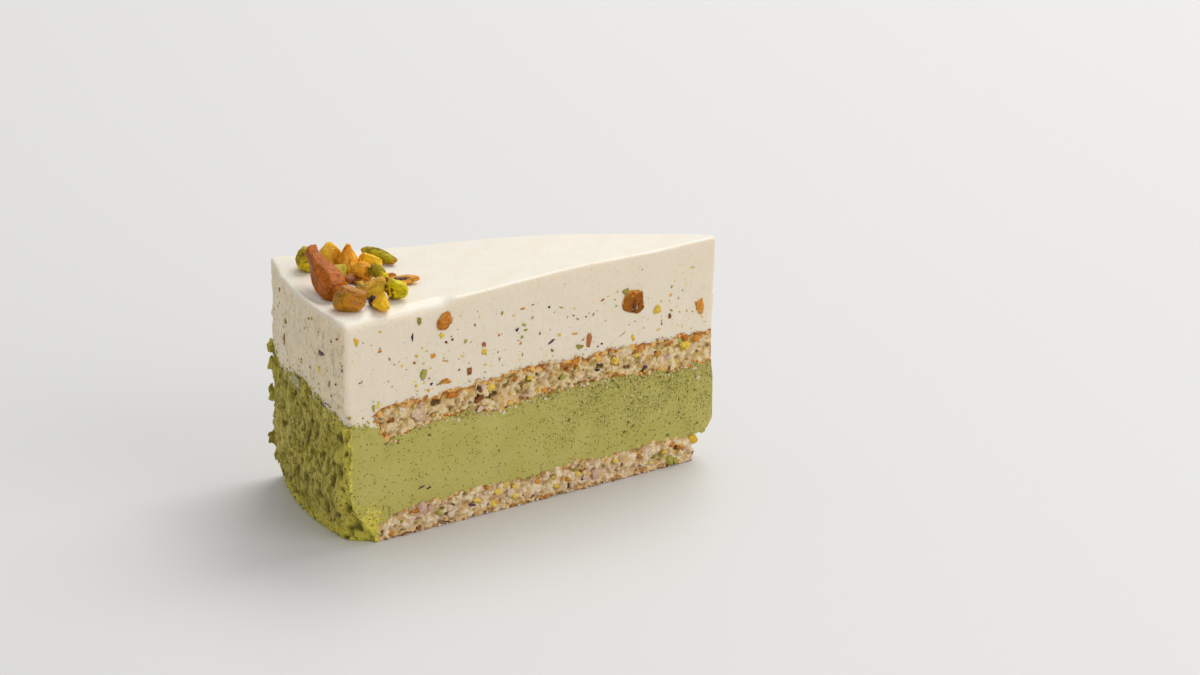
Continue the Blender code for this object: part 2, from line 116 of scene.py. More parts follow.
def along(points, x):
    """Height of a smooth line through the points at x."""
    xs, ys = np.array(points, float).T
    x = np.clip(x, xs[0], xs[-1])
    n = np.clip(np.searchsorted(xs, x) - 1, 0, len(xs) - 2)
    before = np.maximum(n - 1, 0)
    after = np.minimum(n + 2, len(xs) - 1)
    slope0 = (ys[n + 1] - ys[before]) / (xs[n + 1] - xs[before])
    slope1 = (ys[after] - ys[n]) / (xs[after] - xs[n])
    width = xs[n + 1] - xs[n]
    s = (x - xs[n]) / width
    a = (2 * s**3 - 3 * s**2 + 1) * ys[n] + (s**3 - 2 * s**2 + s) * width * slope0
    b = (3 * s**2 - 2 * s**3) * ys[n + 1] + (s**3 - s**2) * width * slope1
    return a + b


def level(points, r):
    return along(points, r * 1000) / 1000


def uneven(x, y, z):
    """Perlin noise at each place, about -1 to 1."""
    x, y, z = np.broadcast_arrays(x, y, z)
    places = np.stack([x.ravel(), y.ravel(), z.ravel()], 1).tolist()
    return 1.6 * np.array([noise.noise(place) for place in places]).reshape(x.shape)


def wobble(a, b, c, size):
    return uneven(a / size, b / size, c)


def fan(r, t, z):
    """Points of the slice from distance to the axis, place across (-1 is the front cut), and height."""
    angle = t * HALF
    share = np.clip((r - TIP_RADIUS) / (CAKE_RADIUS - TIP_RADIUS), 0, 1)
    bow = BOW * np.sin(math.pi * share**0.62) * np.maximum(0, t) ** 2
    x = AXIS_X - r * np.cos(angle) + bow * math.sin(HALF)
    y = r * np.sin(angle) + bow * math.cos(HALF)
    return np.stack(np.broadcast_arrays(x, y, z), -1)


def off_cut(t, lift):
    """Steps off the cut faces: outwards where lift is positive, and none between the cuts."""
    side = np.where(t <= -1, -1.0, np.where(t >= 1, 1.0, 0.0))
    lift = lift * (side != 0)
    return np.stack(np.broadcast_arrays(lift * math.sin(HALF), side * lift * math.cos(HALF), 0 * lift), -1)


def outwards(t):
    """Way out of the outer side."""
    return np.stack([-np.cos(t * HALF), np.sin(t * HALF), 0 * t], -1)


def middle_end(z, t):
    """Distance to the axis of the outer end of the middle sponge, ragged at the cuts."""
    ragged = 0.0006 * wobble(z, t, 53.0, 0.0018) * (abs(t) == 1)
    share = (z - MIDDLE_END_FLOOR) / (MIDDLE_END_TOP - MIDDLE_END_FLOOR)
    return mix(MIDDLE_END_LOW, MIDDLE_END_HIGH, share) + ragged


def layer_line(points, r, t, seed):
    """Height of the line between two layers, ragged at the cuts."""
    ragged = 0.0007 * wobble(r, t, seed, 0.0034) + 0.0004 * wobble(r, t, seed + 5, 0.0013)
    return level(points, r) + ragged * (abs(t) == 1) * step(0.108, 0.103, r)


def base_top(r, t):
    return layer_line(BASE_TOP, r, t, 33.0)


def middle_bottom(r, t):
    return layer_line(MIDDLE_BOTTOM, r, t, 47.0)


def middle_top(r, t):
    return layer_line(MIDDLE_TOP, r, t, 43.0)


def colour_line(r, t):
    """Height where green gives way to white in the outer band."""
    outer = along(COLOUR_LINE, t) / 1000
    outer = outer + 0.0004 * wobble(t * ARC, 0.0, 3.3, 0.0035)
    share = np.clip((r - 0.1105) / (GREEN_RADIUS - 0.1105), 0, 1)
    return mix(INNER_LINE, outer, share)


def top_height(r, t):
    mm = r * 1000
    swell = 0.9 * np.exp(-(((mm - 50) / 26) ** 2)) + 0.5 * np.exp(-((mm / 14) ** 2))
    pressed = 1.1 * step(85.5, 90, mm) * step(-0.80, -1.0, t)
    return TOP + (swell - pressed) / 1000


# Camera, at the photograph's angle

CAMERA_PLACE = Vector((-0.44074, -1.13634, 0.47995))
CAMERA_LENS = 150.9
SENSOR = 36
PHOTO_WIDTH = 1200
PHOTO_HEIGHT = 675
TURN = math.radians(-21.3)
TILT = math.radians(20.25)
ROLL = math.radians(0.25)
AIM_RIGHT = 0.01664
AIM_UP = 0.00722


def camera_axes():
    """Right, up and forward of the camera."""
    forward = Vector((-math.sin(TURN) * math.cos(TILT), math.cos(TURN) * math.cos(TILT), -math.sin(TILT)))
    right = Vector((math.cos(TURN), math.sin(TURN), 0))
    aim = (forward + right * AIM_RIGHT + right.cross(forward) * AIM_UP).normalized()
    side = aim.cross(Vector((0, 0, 1))).normalized()
    over = side.cross(aim)
    return side * math.cos(ROLL) + over * math.sin(ROLL), over * math.cos(ROLL) - side * math.sin(ROLL), aim


def ray(x, y):
    """Direction from the camera through a pixel of the photograph."""
    side, over, aim = camera_axes()
    pixels = CAMERA_LENS / SENSOR * PHOTO_WIDTH
    return aim + side * ((x - PHOTO_WIDTH / 2) / pixels) - over * ((y - PHOTO_HEIGHT / 2) / pixels)


def on_front_cut(x, y):
    """Distance to the axis and height of the front cut at a pixel."""
    way = ray(x, y)
    normal = Vector((math.sin(HALF), -math.cos(HALF), 0))
    axis = Vector((AXIS_X, 0, 0))
    place = CAMERA_PLACE + way * ((axis - CAMERA_PLACE).dot(normal) / way.dot(normal))
    return math.hypot(place.x - AXIS_X, place.y), place.z


def on_top_face(x, y):
    """Place on the level of the top at a pixel."""
    way = ray(x, y)
    place = CAMERA_PLACE + way * ((TOP - CAMERA_PLACE.z) / way.z)
    return tuple(place)


def on_outer_side(x, y, radius=CAKE_RADIUS):
    """Place across and height of the outer side at a pixel."""
    way = ray(x, y)
    start = CAMERA_PLACE - Vector((AXIS_X, 0, 0))
    a = way.x**2 + way.y**2
    b = start.x * way.x + start.y * way.y
    c = start.x**2 + start.y**2 - radius**2
    place = start + way * ((-b - math.sqrt(b * b - a * c)) / a)
    return math.atan2(place.y, -place.x) / HALF, place.z


def link(thing):
    bpy.context.scene.collection.objects.link(thing)


def camera():
    data = bpy.data.cameras.new("camera")
    data.lens = CAMERA_LENS
    data.sensor_width = SENSOR
    data.clip_start = 0.01
    data.clip_end = 50
    eye = bpy.data.objects.new("camera", data)
    side, over, aim = camera_axes()
    eye.matrix_world = Matrix((side, over, -aim)).transposed().to_4x4()
    eye.location = CAMERA_PLACE
    link(eye)
    bpy.context.scene.camera = eye


# Meshes


def piece_from(name, points, faces, masks, coat, nodes=()):
    """A smooth mesh that rides on the slice, with a value at each vertex for each mask."""
    data = bpy.data.meshes.new(name)
    data.from_pydata(np.asarray(points, float).tolist(), [], faces)
    for mask, values in masks.items():
        attribute = data.attributes.new(mask, "FLOAT", "POINT")
        attribute.data.foreach_set("value", np.asarray(values, np.float32))
    mesh = bmesh.new()
    mesh.from_mesh(data)
    bmesh.ops.recalc_face_normals(mesh, faces=mesh.faces[:])
    if mesh.calc_volume(signed=True) < 0:
        bmesh.ops.reverse_faces(mesh, faces=mesh.faces[:])
    mesh.to_mesh(data)
    mesh.free()
    data.shade_smooth()
    data.materials.append(coat)
    thing = bpy.data.objects.new(name, data)
    link(thing)
    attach(thing, "root")
    if nodes:
        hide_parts(*nodes)
    return thing


def block(keep, across, place, seen):
    """Skin of a section of cells drawn out across the slice, with single spans where it isn't seen."""
    columns, rows = keep.shape
    used = np.zeros((columns + 1, rows + 1), bool)
    for a in (0, 1):
        for b in (0, 1):
            used[a : columns + a, b : rows + b] |= keep
    i, j = np.nonzero(used)
    front = np.full(used.shape, -1)
    front[used] = np.arange(len(i))
    back = front + len(i)
    numbers = [np.stack([i, j], 1), np.stack([i, j], 1)]
    across_of = [np.full(len(i), -1.0), np.full(len(i), 1.0)]
    faces = []
    for c, r in zip(*np.nonzero(keep)):
        cell = [(c, r), (c + 1, r), (c + 1, r + 1), (c, r + 1)]
        faces.append([int(front[at]) for at in cell])
        faces.append([int(back[at]) for at in reversed(cell)])
    ring = np.pad(keep, 1)
    edges = [((c, r), (c, r + 1)) for c, r in zip(*np.nonzero(ring[:-1, 1:-1] != ring[1:, 1:-1]))]
    edges += [((c, r), (c + 1, r)) for c, r in zip(*np.nonzero(ring[1:-1, :-1] != ring[1:-1, 1:]))]
    total = 2 * len(i)
    rails = {}
    for a, b in edges:
        if seen(a, b):
            for at in (a, b):
                if at not in rails:
                    inner = across[1:-1]
                    rails[at] = [int(front[at]), *range(total, total + len(inner)), int(back[at])]
                    numbers.append(np.tile(at, (len(inner), 1)))
                    across_of.append(np.array(inner))
                    total += len(inner)
    for a, b in edges:
        rail_a = rails.get(a, [int(front[a]), int(back[a])])
        rail_b = rails.get(b, [int(front[b]), int(back[b])])
        if len(rail_a) == len(rail_b):
            for n in range(len(rail_a) - 1):
                faces.append([rail_a[n], rail_b[n], rail_b[n + 1], rail_a[n + 1]])
        else:
            faces.append(rail_a + rail_b[::-1])
    numbers = np.concatenate(numbers)
    points, masks = place(numbers[:, 0], numbers[:, 1], np.concatenate(across_of))
    return points, faces, masks


def across_steps(count, fine=(0.012, 0.026, 0.044, 0.068)):
    """Places across the slice, closer together beside the cuts."""
    inner = np.linspace(-1 + fine[-1], 1 - fine[-1], count).tolist()
    front = [-1 + part for part in fine[:-1]]
    back = [1 - part for part in fine[:-1][::-1]]
    return [-1.0, *front, *inner, *back, 1.0]


def pits(r, z, centres, depth):
    """Depth of uneven hollows, given as distance to the axis, height and radius, at each place of a cut."""
    deep = np.zeros(len(r))
    warped_r = r + 0.00016 * wobble(r, z, 71.0, 0.0009)
    warped_z = z + 0.00016 * wobble(r, z, 75.0, 0.0009)
    for place_r, place_z, size in centres:
        near = np.nonzero((abs(warped_r - place_r) < size) & (abs(warped_z - place_z) < size))[0]
        if len(near):
            away = ((warped_r[near] - place_r) ** 2 + (warped_z[near] - place_z) ** 2) / size**2
            deep[near] = np.maximum(deep[near], size * depth * np.clip(1 - away, 0, 1) ** 0.6)
    return deep


def scattered(x, y, z):
    """Distance from each place to the nearest of scattered points, and how much further the next one is."""
    places = np.stack(np.broadcast_arrays(x, y, z), 1).tolist()
    near = np.array([noise.voronoi(place)[0][:2] for place in places])
    return near[:, 0], near[:, 1] - near[:, 0]


# Materials


class Coat:
    """A material and its nodes."""

    def __init__(self, name, roughness, subsurface=0.0, radius=(1.0, 0.6, 0.4), reach=0.001, specular=0.5):
        self.material = bpy.data.materials.new(name)
        self.material.use_nodes = True
        self.tree = self.material.node_tree
        self.shader = self.tree.nodes["Principled BSDF"]
        self.shader.inputs["Roughness"].default_value = roughness
        self.shader.inputs["Specular IOR Level"].default_value = specular
        self.shader.inputs["Subsurface Weight"].default_value = subsurface
        self.shader.inputs["Subsurface Radius"].default_value = radius
        self.shader.inputs["Subsurface Scale"].default_value = reach
        inputs = {"Vector": self.add("ShaderNodeTexCoord").outputs["Object"], "Scale": 1000}
        self.place = self.add("ShaderNodeVectorMath", inputs, operation="SCALE").outputs[0]

    def add(self, kind, inputs=None, **settings):
        made = self.tree.nodes.new(kind)
        for key, value in settings.items():
            setattr(made, key, value)
        for key, value in (inputs or {}).items():
            if isinstance(value, bpy.types.NodeSocket):
                self.tree.links.new(value, made.inputs[key])
            else:
                made.inputs[key].default_value = value
        return made

    def mask(self, name):
        return self.add("ShaderNodeAttribute", attribute_name=name).outputs["Fac"]

    def grain(self, size, detail=2.0, stretch=(1, 1, 1), roughness=0.5):
        """Noise with features of a size in millimetres."""
        place = self.add("ShaderNodeVectorMath", {0: self.place, 1: stretch}, operation="MULTIPLY").outputs[0]
        inputs = {"Vector": place, "Scale": 1 / size, "Detail": detail, "Roughness": roughness}
        return self.add("ShaderNodeTexNoise", inputs).outputs[0]

    def spots(self, size, radius, share):
        """Round spots of a radius, in a share of the cells of a size, both in millimetres."""
        cell = self.add("ShaderNodeTexVoronoi", {"Vector": self.place, "Scale": 1 / size}, feature="F1")
        spot = self.span(cell.outputs["Distance"], radius / size, 0.55 * radius / size)
        chance = self.add("ShaderNodeSeparateColor", {0: cell.outputs["Color"]}).outputs[0]
        chosen = self.span(self.sum(share, chance, "SUBTRACT"), 0.0, 0.02)
        return self.times(spot, chosen)

    def span(self, value, low, high, to_low=0.0, to_high=1.0):
        inputs = {0: value, 1: low, 2: high, 3: to_low, 4: to_high}
        return self.add("ShaderNodeMapRange", inputs, interpolation_type="SMOOTHSTEP").outputs[0]

    def patches(self, size, low, high, to_low=0.0, to_high=1.0, **grain):
        """Noise of a size in millimetres, eased from one value to another between two levels."""
        return self.span(self.grain(size, **grain), low, high, to_low, to_high)

    def times(self, a, b):
        return self.sum(a, b, "MULTIPLY")

    def sum(self, a, b, operation="ADD"):
        return self.add("ShaderNodeMath", {0: a, 1: b}, operation=operation, use_clamp=False).outputs[0]

    def colour(self, factor, a, b):
        a, b = [(*part, 1) if isinstance(part, tuple) else part for part in (a, b)]
        return self.add("ShaderNodeMix", {0: factor, 6: a, 7: b}, data_type="RGBA").outputs[2]

    def bump(self, height, distance, strength=1.0, under=None):
        inputs = {"Height": height, "Distance": distance * MM, "Strength": strength}
        if under is not None:
            inputs["Normal"] = under
        return self.add("ShaderNodeBump", inputs).outputs[0]

    def finish(self, colour, normal=None, roughness=None):
        self.tree.links.new(colour, self.shader.inputs["Base Color"])
        if normal is not None:
            self.tree.links.new(normal, self.shader.inputs["Normal"])
        if roughness is not None:
            self.tree.links.new(roughness, self.shader.inputs["Roughness"])
        return self.material


def shade(colour, factor, more=0.0):
    return tuple(min(1, part * factor + more) for part in colour)


# Cream and green, each as its faces show it, with painted sheen, highlights and shade among them

# The paler, greyer cream of the top is painted sheen of the lit top, and the yellower cream of the outer side
# is painted warm shade; the cut's cream is the mousse's own colour
CREAM_TOP_SHEEN = (0.845, 0.79, 0.69)
CREAM_CUT = (0.84, 0.735, 0.59)
CREAM_OUTER_WARM_SHADE = (0.88, 0.73, 0.49)
GREEN_CUT = (0.45, 0.40, 0.085)
GREEN_SOFT = (0.54, 0.475, 0.14)
# Dark colour of painted shade in pits and holes of the green
GREEN_PIT_SHADE = (0.13, 0.105, 0.008)
GREEN_OUTER = (0.35, 0.285, 0.018)
# Pale colour of the fibre ridges on the outer side, a painted sheen
GREEN_RIDGE_SHEEN = (0.74, 0.62, 0.14)
# Bright yellow-green of painted light on the foot and front strip of the green
GREEN_PAINTED_LIGHT = (0.92, 0.80, 0.10)


def cream():
    coat = Coat("cream", 0.45, subsurface=0.35, reach=0.0022, specular=0.35)
    outer = coat.mask("outer")
    upper = coat.mask("upper")
    below = coat.sum(1.0, upper, "SUBTRACT")
    # Top faces take the cream with painted sheen, the other faces the cut's cream
    colour = coat.colour(upper, CREAM_CUT, CREAM_TOP_SHEEN)
    # The streaks are the mousse's own smears, and the same noise raises them in the bump, so their darker
    # grooves and lighter ridges are also painted shade and highlight
    streak = coat.grain(1.1, detail=4, stretch=(1, 1, 0.5), roughness=0.65)
    smear = coat.colour(coat.span(streak, 0.36, 0.64), (0.68, 0.54, 0.33), (0.93, 0.81, 0.62))
    smear = coat.colour(coat.patches(3.5, 0.4, 0.65, detail=3), smear, CREAM_OUTER_WARM_SHADE)
    smear = coat.colour(coat.patches(0.7, 0.60, 0.72, 0, 0.6, detail=3), smear, (0.42, 0.33, 0.16))
    colour = coat.colour(outer, colour, smear)
    cloud = coat.patches(6.0, 0.38, 0.66, 0, 0.22, detail=3)
    colour = coat.colour(cloud, colour, (0.80, 0.69, 0.48))
    fleck = coat.patches(1.0, 0.52, 0.72, 0, 0.28, detail=3)
    colour = coat.colour(coat.times(fleck, below), colour, (0.74, 0.64, 0.44))
    stain = coat.sum(coat.mask("stain"), coat.patches(0.8, 0.3, 0.7, -0.45, 0.45, detail=3))
    colour = coat.colour(coat.span(stain, 0.25, 0.85), colour, GREEN_SOFT)
    normal = coat.bump(coat.times(coat.grain(0.7, detail=3), below), 0.05, 0.5)
    normal = coat.bump(coat.times(streak, outer), 0.3, 0.7, normal)
    roughness = coat.span(upper, 0, 1, 0.58, 0.42)
    return coat.finish(colour, normal, roughness)


def green():
    coat = Coat("pistachio_green", 0.6, subsurface=0.2, reach=0.0014, specular=0.3)
    outer = coat.mask("outer")
    dense = coat.mask("dense")
    cloud = coat.patches(9.0, 0.34, 0.66, 0.25, 0.75, detail=3)
    cut = coat.colour(cloud, GREEN_CUT, GREEN_SOFT)
    # Crumbly patches are pressed in by the bump and darkened as painted shade, the pale flecks among them are
    # painted highlights, and the pores are dark spots of painted shade, also pressed in
    crumbly = coat.times(coat.patches(0.55, 0.40, 0.62, detail=4), dense)
    cut = coat.colour(coat.times(crumbly, 0.32), cut, (0.27, 0.235, 0.02))
    pale = coat.times(coat.patches(0.7, 0.52, 0.68, detail=4), dense)
    cut = coat.colour(coat.times(pale, 0.9), cut, (0.68, 0.62, 0.20))
    large = coat.spots(1.0, 0.27, coat.sum(coat.times(dense, 0.8), 0.13))
    small = coat.spots(0.72, 0.23, coat.sum(coat.times(dense, 0.7), 0.18))
    dot = coat.sum(large, small, "MAXIMUM")
    cut = coat.colour(coat.times(dot, 0.8), cut, (0.15, 0.125, 0.01))
    # The fibre noise raises the outer side's ridges in the bump and paints them paler as painted sheen, with
    # the darker olive of the grooves as painted shade
    fibre = coat.grain(1.2, detail=5, stretch=(1.2, 1.2, 0.34), roughness=0.7)
    rough = coat.colour(coat.span(fibre, 0.38, 0.60), GREEN_OUTER, GREEN_RIDGE_SHEEN)
    # The foot mask paints light on the rounded foot and on the front strip of the outer side
    rough = coat.colour(coat.times(coat.mask("foot"), 0.8), rough, GREEN_PAINTED_LIGHT)
    # Dark grain on the outer side is painted shade in its pits
    rough = coat.colour(coat.patches(0.9, 0.56, 0.66, 0, 0.85, detail=4), rough, GREEN_PIT_SHADE)
    edge = coat.sum(outer, coat.patches(0.9, 0.3, 0.7, -0.4, 0.4, detail=3))
    colour = coat.colour(coat.span(edge, 0.3, 0.7), cut, rough)
    # Painted shade in the torn holes of the outer side and the larger pores of the cuts
    colour = coat.colour(coat.times(coat.mask("pit_shade"), 0.9), colour, GREEN_PIT_SHADE)
    normal = coat.bump(coat.grain(0.5, detail=4), 0.10, 0.6)
    normal = coat.bump(coat.sum(crumbly, dot), -0.22, 0.8, normal)
    normal = coat.bump(coat.times(fibre, outer), 1.1, 1.0, normal)
    return coat.finish(colour, normal)


# Crevice, crumb and grain of each sponge, the dark crevice tone and the pale grain tone being painted shade
# and light, and its crust from dark to light
BASE_TONES_WITH_CREVICE_SHADE = ((0.24, 0.145, 0.05), (0.60, 0.405, 0.195), (0.86, 0.71, 0.485))
BASE_CRUST = ((0.48, 0.25, 0.08), (0.82, 0.57, 0.26))
MIDDLE_TONES_WITH_CREVICE_SHADE = ((0.20, 0.12, 0.03), (0.52, 0.345, 0.125), (0.82, 0.66, 0.39))
MIDDLE_CRUST = ((0.42, 0.16, 0.03), (0.80, 0.46, 0.13))
# Amber, olive, orange and rose patches: size, where they start and end in the noise, strength,
# detail, stretch and colour
CRUMB_TINTS = (
    (2.2, 0.52, 0.66, 0.6, 3, (1, 1, 1), (0.70, 0.43, 0.14)),
    (1.5, 0.60, 0.68, 0.5, 2, (1, 1, 1), (0.50, 0.40, 0.08)),
    (1.4, 0.61, 0.69, 0.6, 2, (1.1, 1, 1.2), (0.64, 0.32, 0.09)),
    (2.6, 0.50, 0.68, 0.5, 2, (1, 1.3, 1), (0.62, 0.42, 0.32)),
)


def sponge(name, tones, crusts):
    """Crumb in three tones from the crevices up, darkest in the crevices as painted shade and palest on the
    high crumb as painted light, with bits of nut, and a crust in two tones.
    """
    coat = Coat(name, 0.75, subsurface=0.1, reach=0.0006, specular=0.3)
    deep, middle, pale = tones
    # The height mask carries the crumb's tone, painted shade low down and painted light high up
    height = coat.sum(coat.mask("height"), coat.patches(0.45, 0.25, 0.75, -0.12, 0.12, detail=3))
    colour = coat.colour(coat.span(height, 0.02, 0.40), deep, middle)
    colour = coat.colour(coat.span(height, 0.38, 0.80), colour, pale)
    for size, low, high, strength, detail, stretch, tint in CRUMB_TINTS:
        tinted = coat.patches(size, low, high, 0, strength, detail=detail, stretch=stretch)
        colour = coat.colour(tinted, colour, tint)
    # Hollows are darkened as painted shade
    colour = coat.colour(coat.mask("pit_shade"), colour, shade(deep, 0.8))
    # The crust is its own brown, and darker where the crumb lies low as painted shade
    browned_and_shaded = coat.times(coat.patches(1.4, 0.36, 0.64, detail=3), coat.mask("height"))
    crust = coat.colour(coat.span(browned_and_shaded, 0.05, 0.5), *crusts)
    edge = coat.sum(coat.mask("crust"), coat.patches(0.9, 0.3, 0.7, -0.45, 0.35, detail=3))
    colour = coat.colour(coat.span(edge, 0.35, 0.65), colour, crust)
    normal = coat.bump(coat.grain(0.5, detail=4), 0.22, 0.9)
    return coat.finish(colour, normal)


# White mousse

INNER_RADIUS = 0.1124
TIP_STEPS = 22
MAIN_STEPS = 225


def white_tip(z):
    return mix(0.0060, TIP_RADIUS, step(0.034, 0.056, z))


def white_side(t, z):
    """Outer side of the white mousse: smeared, and drawn in where it meets the green."""
    arc = t * ARC
    smear = 0.16 * wobble(arc, z * 0.3, 5.5, 0.004) + 0.12 * wobble(arc, z, 1.5, 0.005)
    smear = smear + 0.28 * step(0.88, 0.99, t) * wobble(arc, z, 6.5, 0.0018)
    overhang = CAKE_RADIUS - GREEN_RADIUS - 0.0012 * step(-0.9, 0.5, t)
    drawn = overhang * step(0.0050, 0.0003, z - colour_line(CAKE_RADIUS, t))
    return CAKE_RADIUS + smear / 1000 - drawn


def dent(r, t):
    """Shallow groove pressed into the top by the outer edge."""
    along_edge = (t * HALF * r + 0.0050) / 0.0048
    from_edge = (CAKE_RADIUS - 0.0026 - r) / 0.0010
    return 0.0012 * np.exp(-(along_edge**2) - from_edge**2)


def rounded(r, t, z, top, tip, outer):
    """Draws the edges of the white block in to a small radius."""
    size = mix(EDGE_ROUND, OUTER_EDGE_ROUND, step(0.078, 0.096, r) * step(-0.80, -0.92, t))
    half = r * HALF
    side = np.minimum(1 + t, 1 - t) * half
    end = np.minimum(outer - r, r - tip)
    away = np.stack([top - z, side, end])
    inside = np.minimum(0, away - size)
    length = np.sqrt((inside**2).sum(0))
    bent = ((inside < 0).sum(0) > 1) & (length > size)
    scale = np.where(bent, size / np.maximum(length, 1e-9) - 1, 0)
    moved = inside * scale
    z = z - moved[0]
    t = t + moved[1] / half * np.where(t < 0, 1, -1)
    r = r + moved[2] * np.where(outer - r < r - tip, -1, 1)
    return r, t, z


def white():
    tip_part = np.linspace(0, 1, TIP_STEPS + 1) ** 1.15
    main = np.linspace(TIP_END, BAND_START, MAIN_STEPS + 1)[1:]
    band = np.linspace(BAND_START, INNER_RADIUS, 21)[1:-1]
    ends = [INNER_RADIUS, *np.linspace(0.1130, 0.1176, 11)]
    edge = [0.1181, 0.1185, 0.1189, 0.1192, 0.1195, 0.1198, CAKE_RADIUS]
    radii = np.array([*mix(0.0052, TIP_END, tip_part), *main, *band, *ends, *edge])
    inner = TIP_STEPS + MAIN_STEPS + len(band) + 1
    columns = len(radii) - 1
    legs = 14
    shares = np.concatenate([np.linspace(0, 0.93, 56), [0.945, 0.958, 0.970, 0.980, 0.988, 0.995, 1.0]])
    rows = legs + len(shares) - 1
    keep = np.ones((columns, rows), bool)
    keep[:inner, :legs] = False

    def place(i, j, t):
        r = radii[i]
        floor = middle_top(np.minimum(r, INNER_RADIUS), t) - OVERLAP
        top = top_height(r, t) - dent(r, t)
        share = shares[np.maximum(0, j - legs)]
        z = mix(floor, top, share)
        down = 1 - j / legs
        leg = j < legs
        wall_z = mix(floor, INNER_LINE, down)
        z = np.where(leg & (i == inner), wall_z, z)
        r = np.where(leg & (i == inner), middle_end(wall_z, t) - OVERLAP, r)
        z = np.where(leg & (i > inner), mix(floor, colour_line(r, t) - 0.0003, down), z)
        share_out = (radii[i] - INNER_RADIUS) / (CAKE_RADIUS - INNER_RADIUS)
        r = np.where(i > inner, mix(INNER_RADIUS, white_side(t, z), share_out), r)
        near_tip = i < TIP_STEPS
        r = np.where(near_tip, mix(white_tip(z), TIP_END, tip_part[np.minimum(i, TIP_STEPS)]), r)
        flat_t = t
        round_it = (z > 0.045) | (i > inner + 1)
        r2, t2, z2 = rounded(r, t, z, top, white_tip(z), white_side(t, z))
        r = np.where(round_it, r2, r)
        t = np.where(round_it, t2, t)
        z = np.where(round_it & ~(leg & (i > inner)), z2, z)
        points = fan(r, t, z)
        lift = 0.10 * wobble(r, z, 6.0 + flat_t, 0.010) + 0.035 * wobble(r, z * 0.25, 12.0, 0.0016)
        lift += 0.03 * wobble(r, z, 14.0, 0.0011)
        points += off_cut(flat_t, 0.001 * np.minimum(1, r / 0.03) * lift)
        ripple = 0.00010 * wobble(points[:, 0], points[:, 1], 17.0, 0.011) * (j == rows)
        points[:, 2] += ripple * step(0.0, 0.003, TOP + 0.002 - z)
        on_side = i == columns
        drag = 0.05 * wobble(t * ARC + 0.5 * z, z * 0.8, 18.0, 0.0017)
        drag = 0.001 * (drag + 0.05 * wobble(t * ARC, z, 19.0, 0.0009))
        drag = drag * on_side * step(TOP - 0.0004, TOP - 0.0030, z)
        points += drag[:, None] * outwards(t)
        outer = step(0.1188, 0.1199, r) * step(TOP - 0.0004, TOP - 0.0022, z) * on_side
        upper = step(TOP - 0.0030, TOP - 0.0008, z) * (j == rows)
        stain = step(0.0020, -0.0002, z - colour_line(r, t)) * (i > inner) * leg
        return points, {"outer": outer, "upper": upper, "stain": stain}

    def seen(a, b):
        outer_side = a[0] == b[0] == columns
        tip_side = a[0] == b[0] == 0
        top_side = a[1] == b[1] == rows
        return outer_side or tip_side or top_side

    points, faces, masks = block(keep, across_steps(100), place, seen)
    piece_from("white_mousse_block", points, faces, masks, cream(), ["white_mousse"])


# Green mousse


def green_tip(z):
    mm = z * 1000
    return (5.35 + 0.5 * step(22, 27, mm) + 2.6 * step(11.5, 6.5, mm)) / 1000


def green_side(t, z):
    """Outer side of the green mousse: rounded at the foot, most at the front corner, and torn."""
    mm = z * 1000
    foot = 2.2 * np.maximum(0, (12 - mm) / 12) ** 2
    corner = 6.4 * np.maximum(0, (13.5 - mm) / 13.5) ** 1.2 * np.exp(-(((t + 1) / 0.13) ** 2))
    other = 0.8 * np.maximum(0, (13.5 - mm) / 13.5) ** 1.3 * np.exp(-(((t - 1) / 0.12) ** 2))
    arc = t * ARC
    torn = 0.45 * wobble(arc, z * 0.35, 7.1, 0.0024) + 0.40 * wobble(arc, z, 2.7, 0.0036)
    torn = torn + 0.25 * wobble(arc, z, 9.4, 0.0017)
    torn = torn * (step(0.0, 3.0, mm) * 0.6 + 0.4)
    side = GREEN_RADIUS * 1000 + 1.2 * step(-0.9, 0.5, t) - foot - corner - other + torn
    for place_t, place_z, lift, size in FLAKES:
        above = (z - place_z) / (size * 1.5)
        away = ((arc - place_t * ARC) / (size * 0.8)) ** 2 + np.where(above > 0, above * 2.2, above) ** 2
        side = side + 700 * lift * np.exp(-away)
    return np.maximum(side, 111.5) / 1000


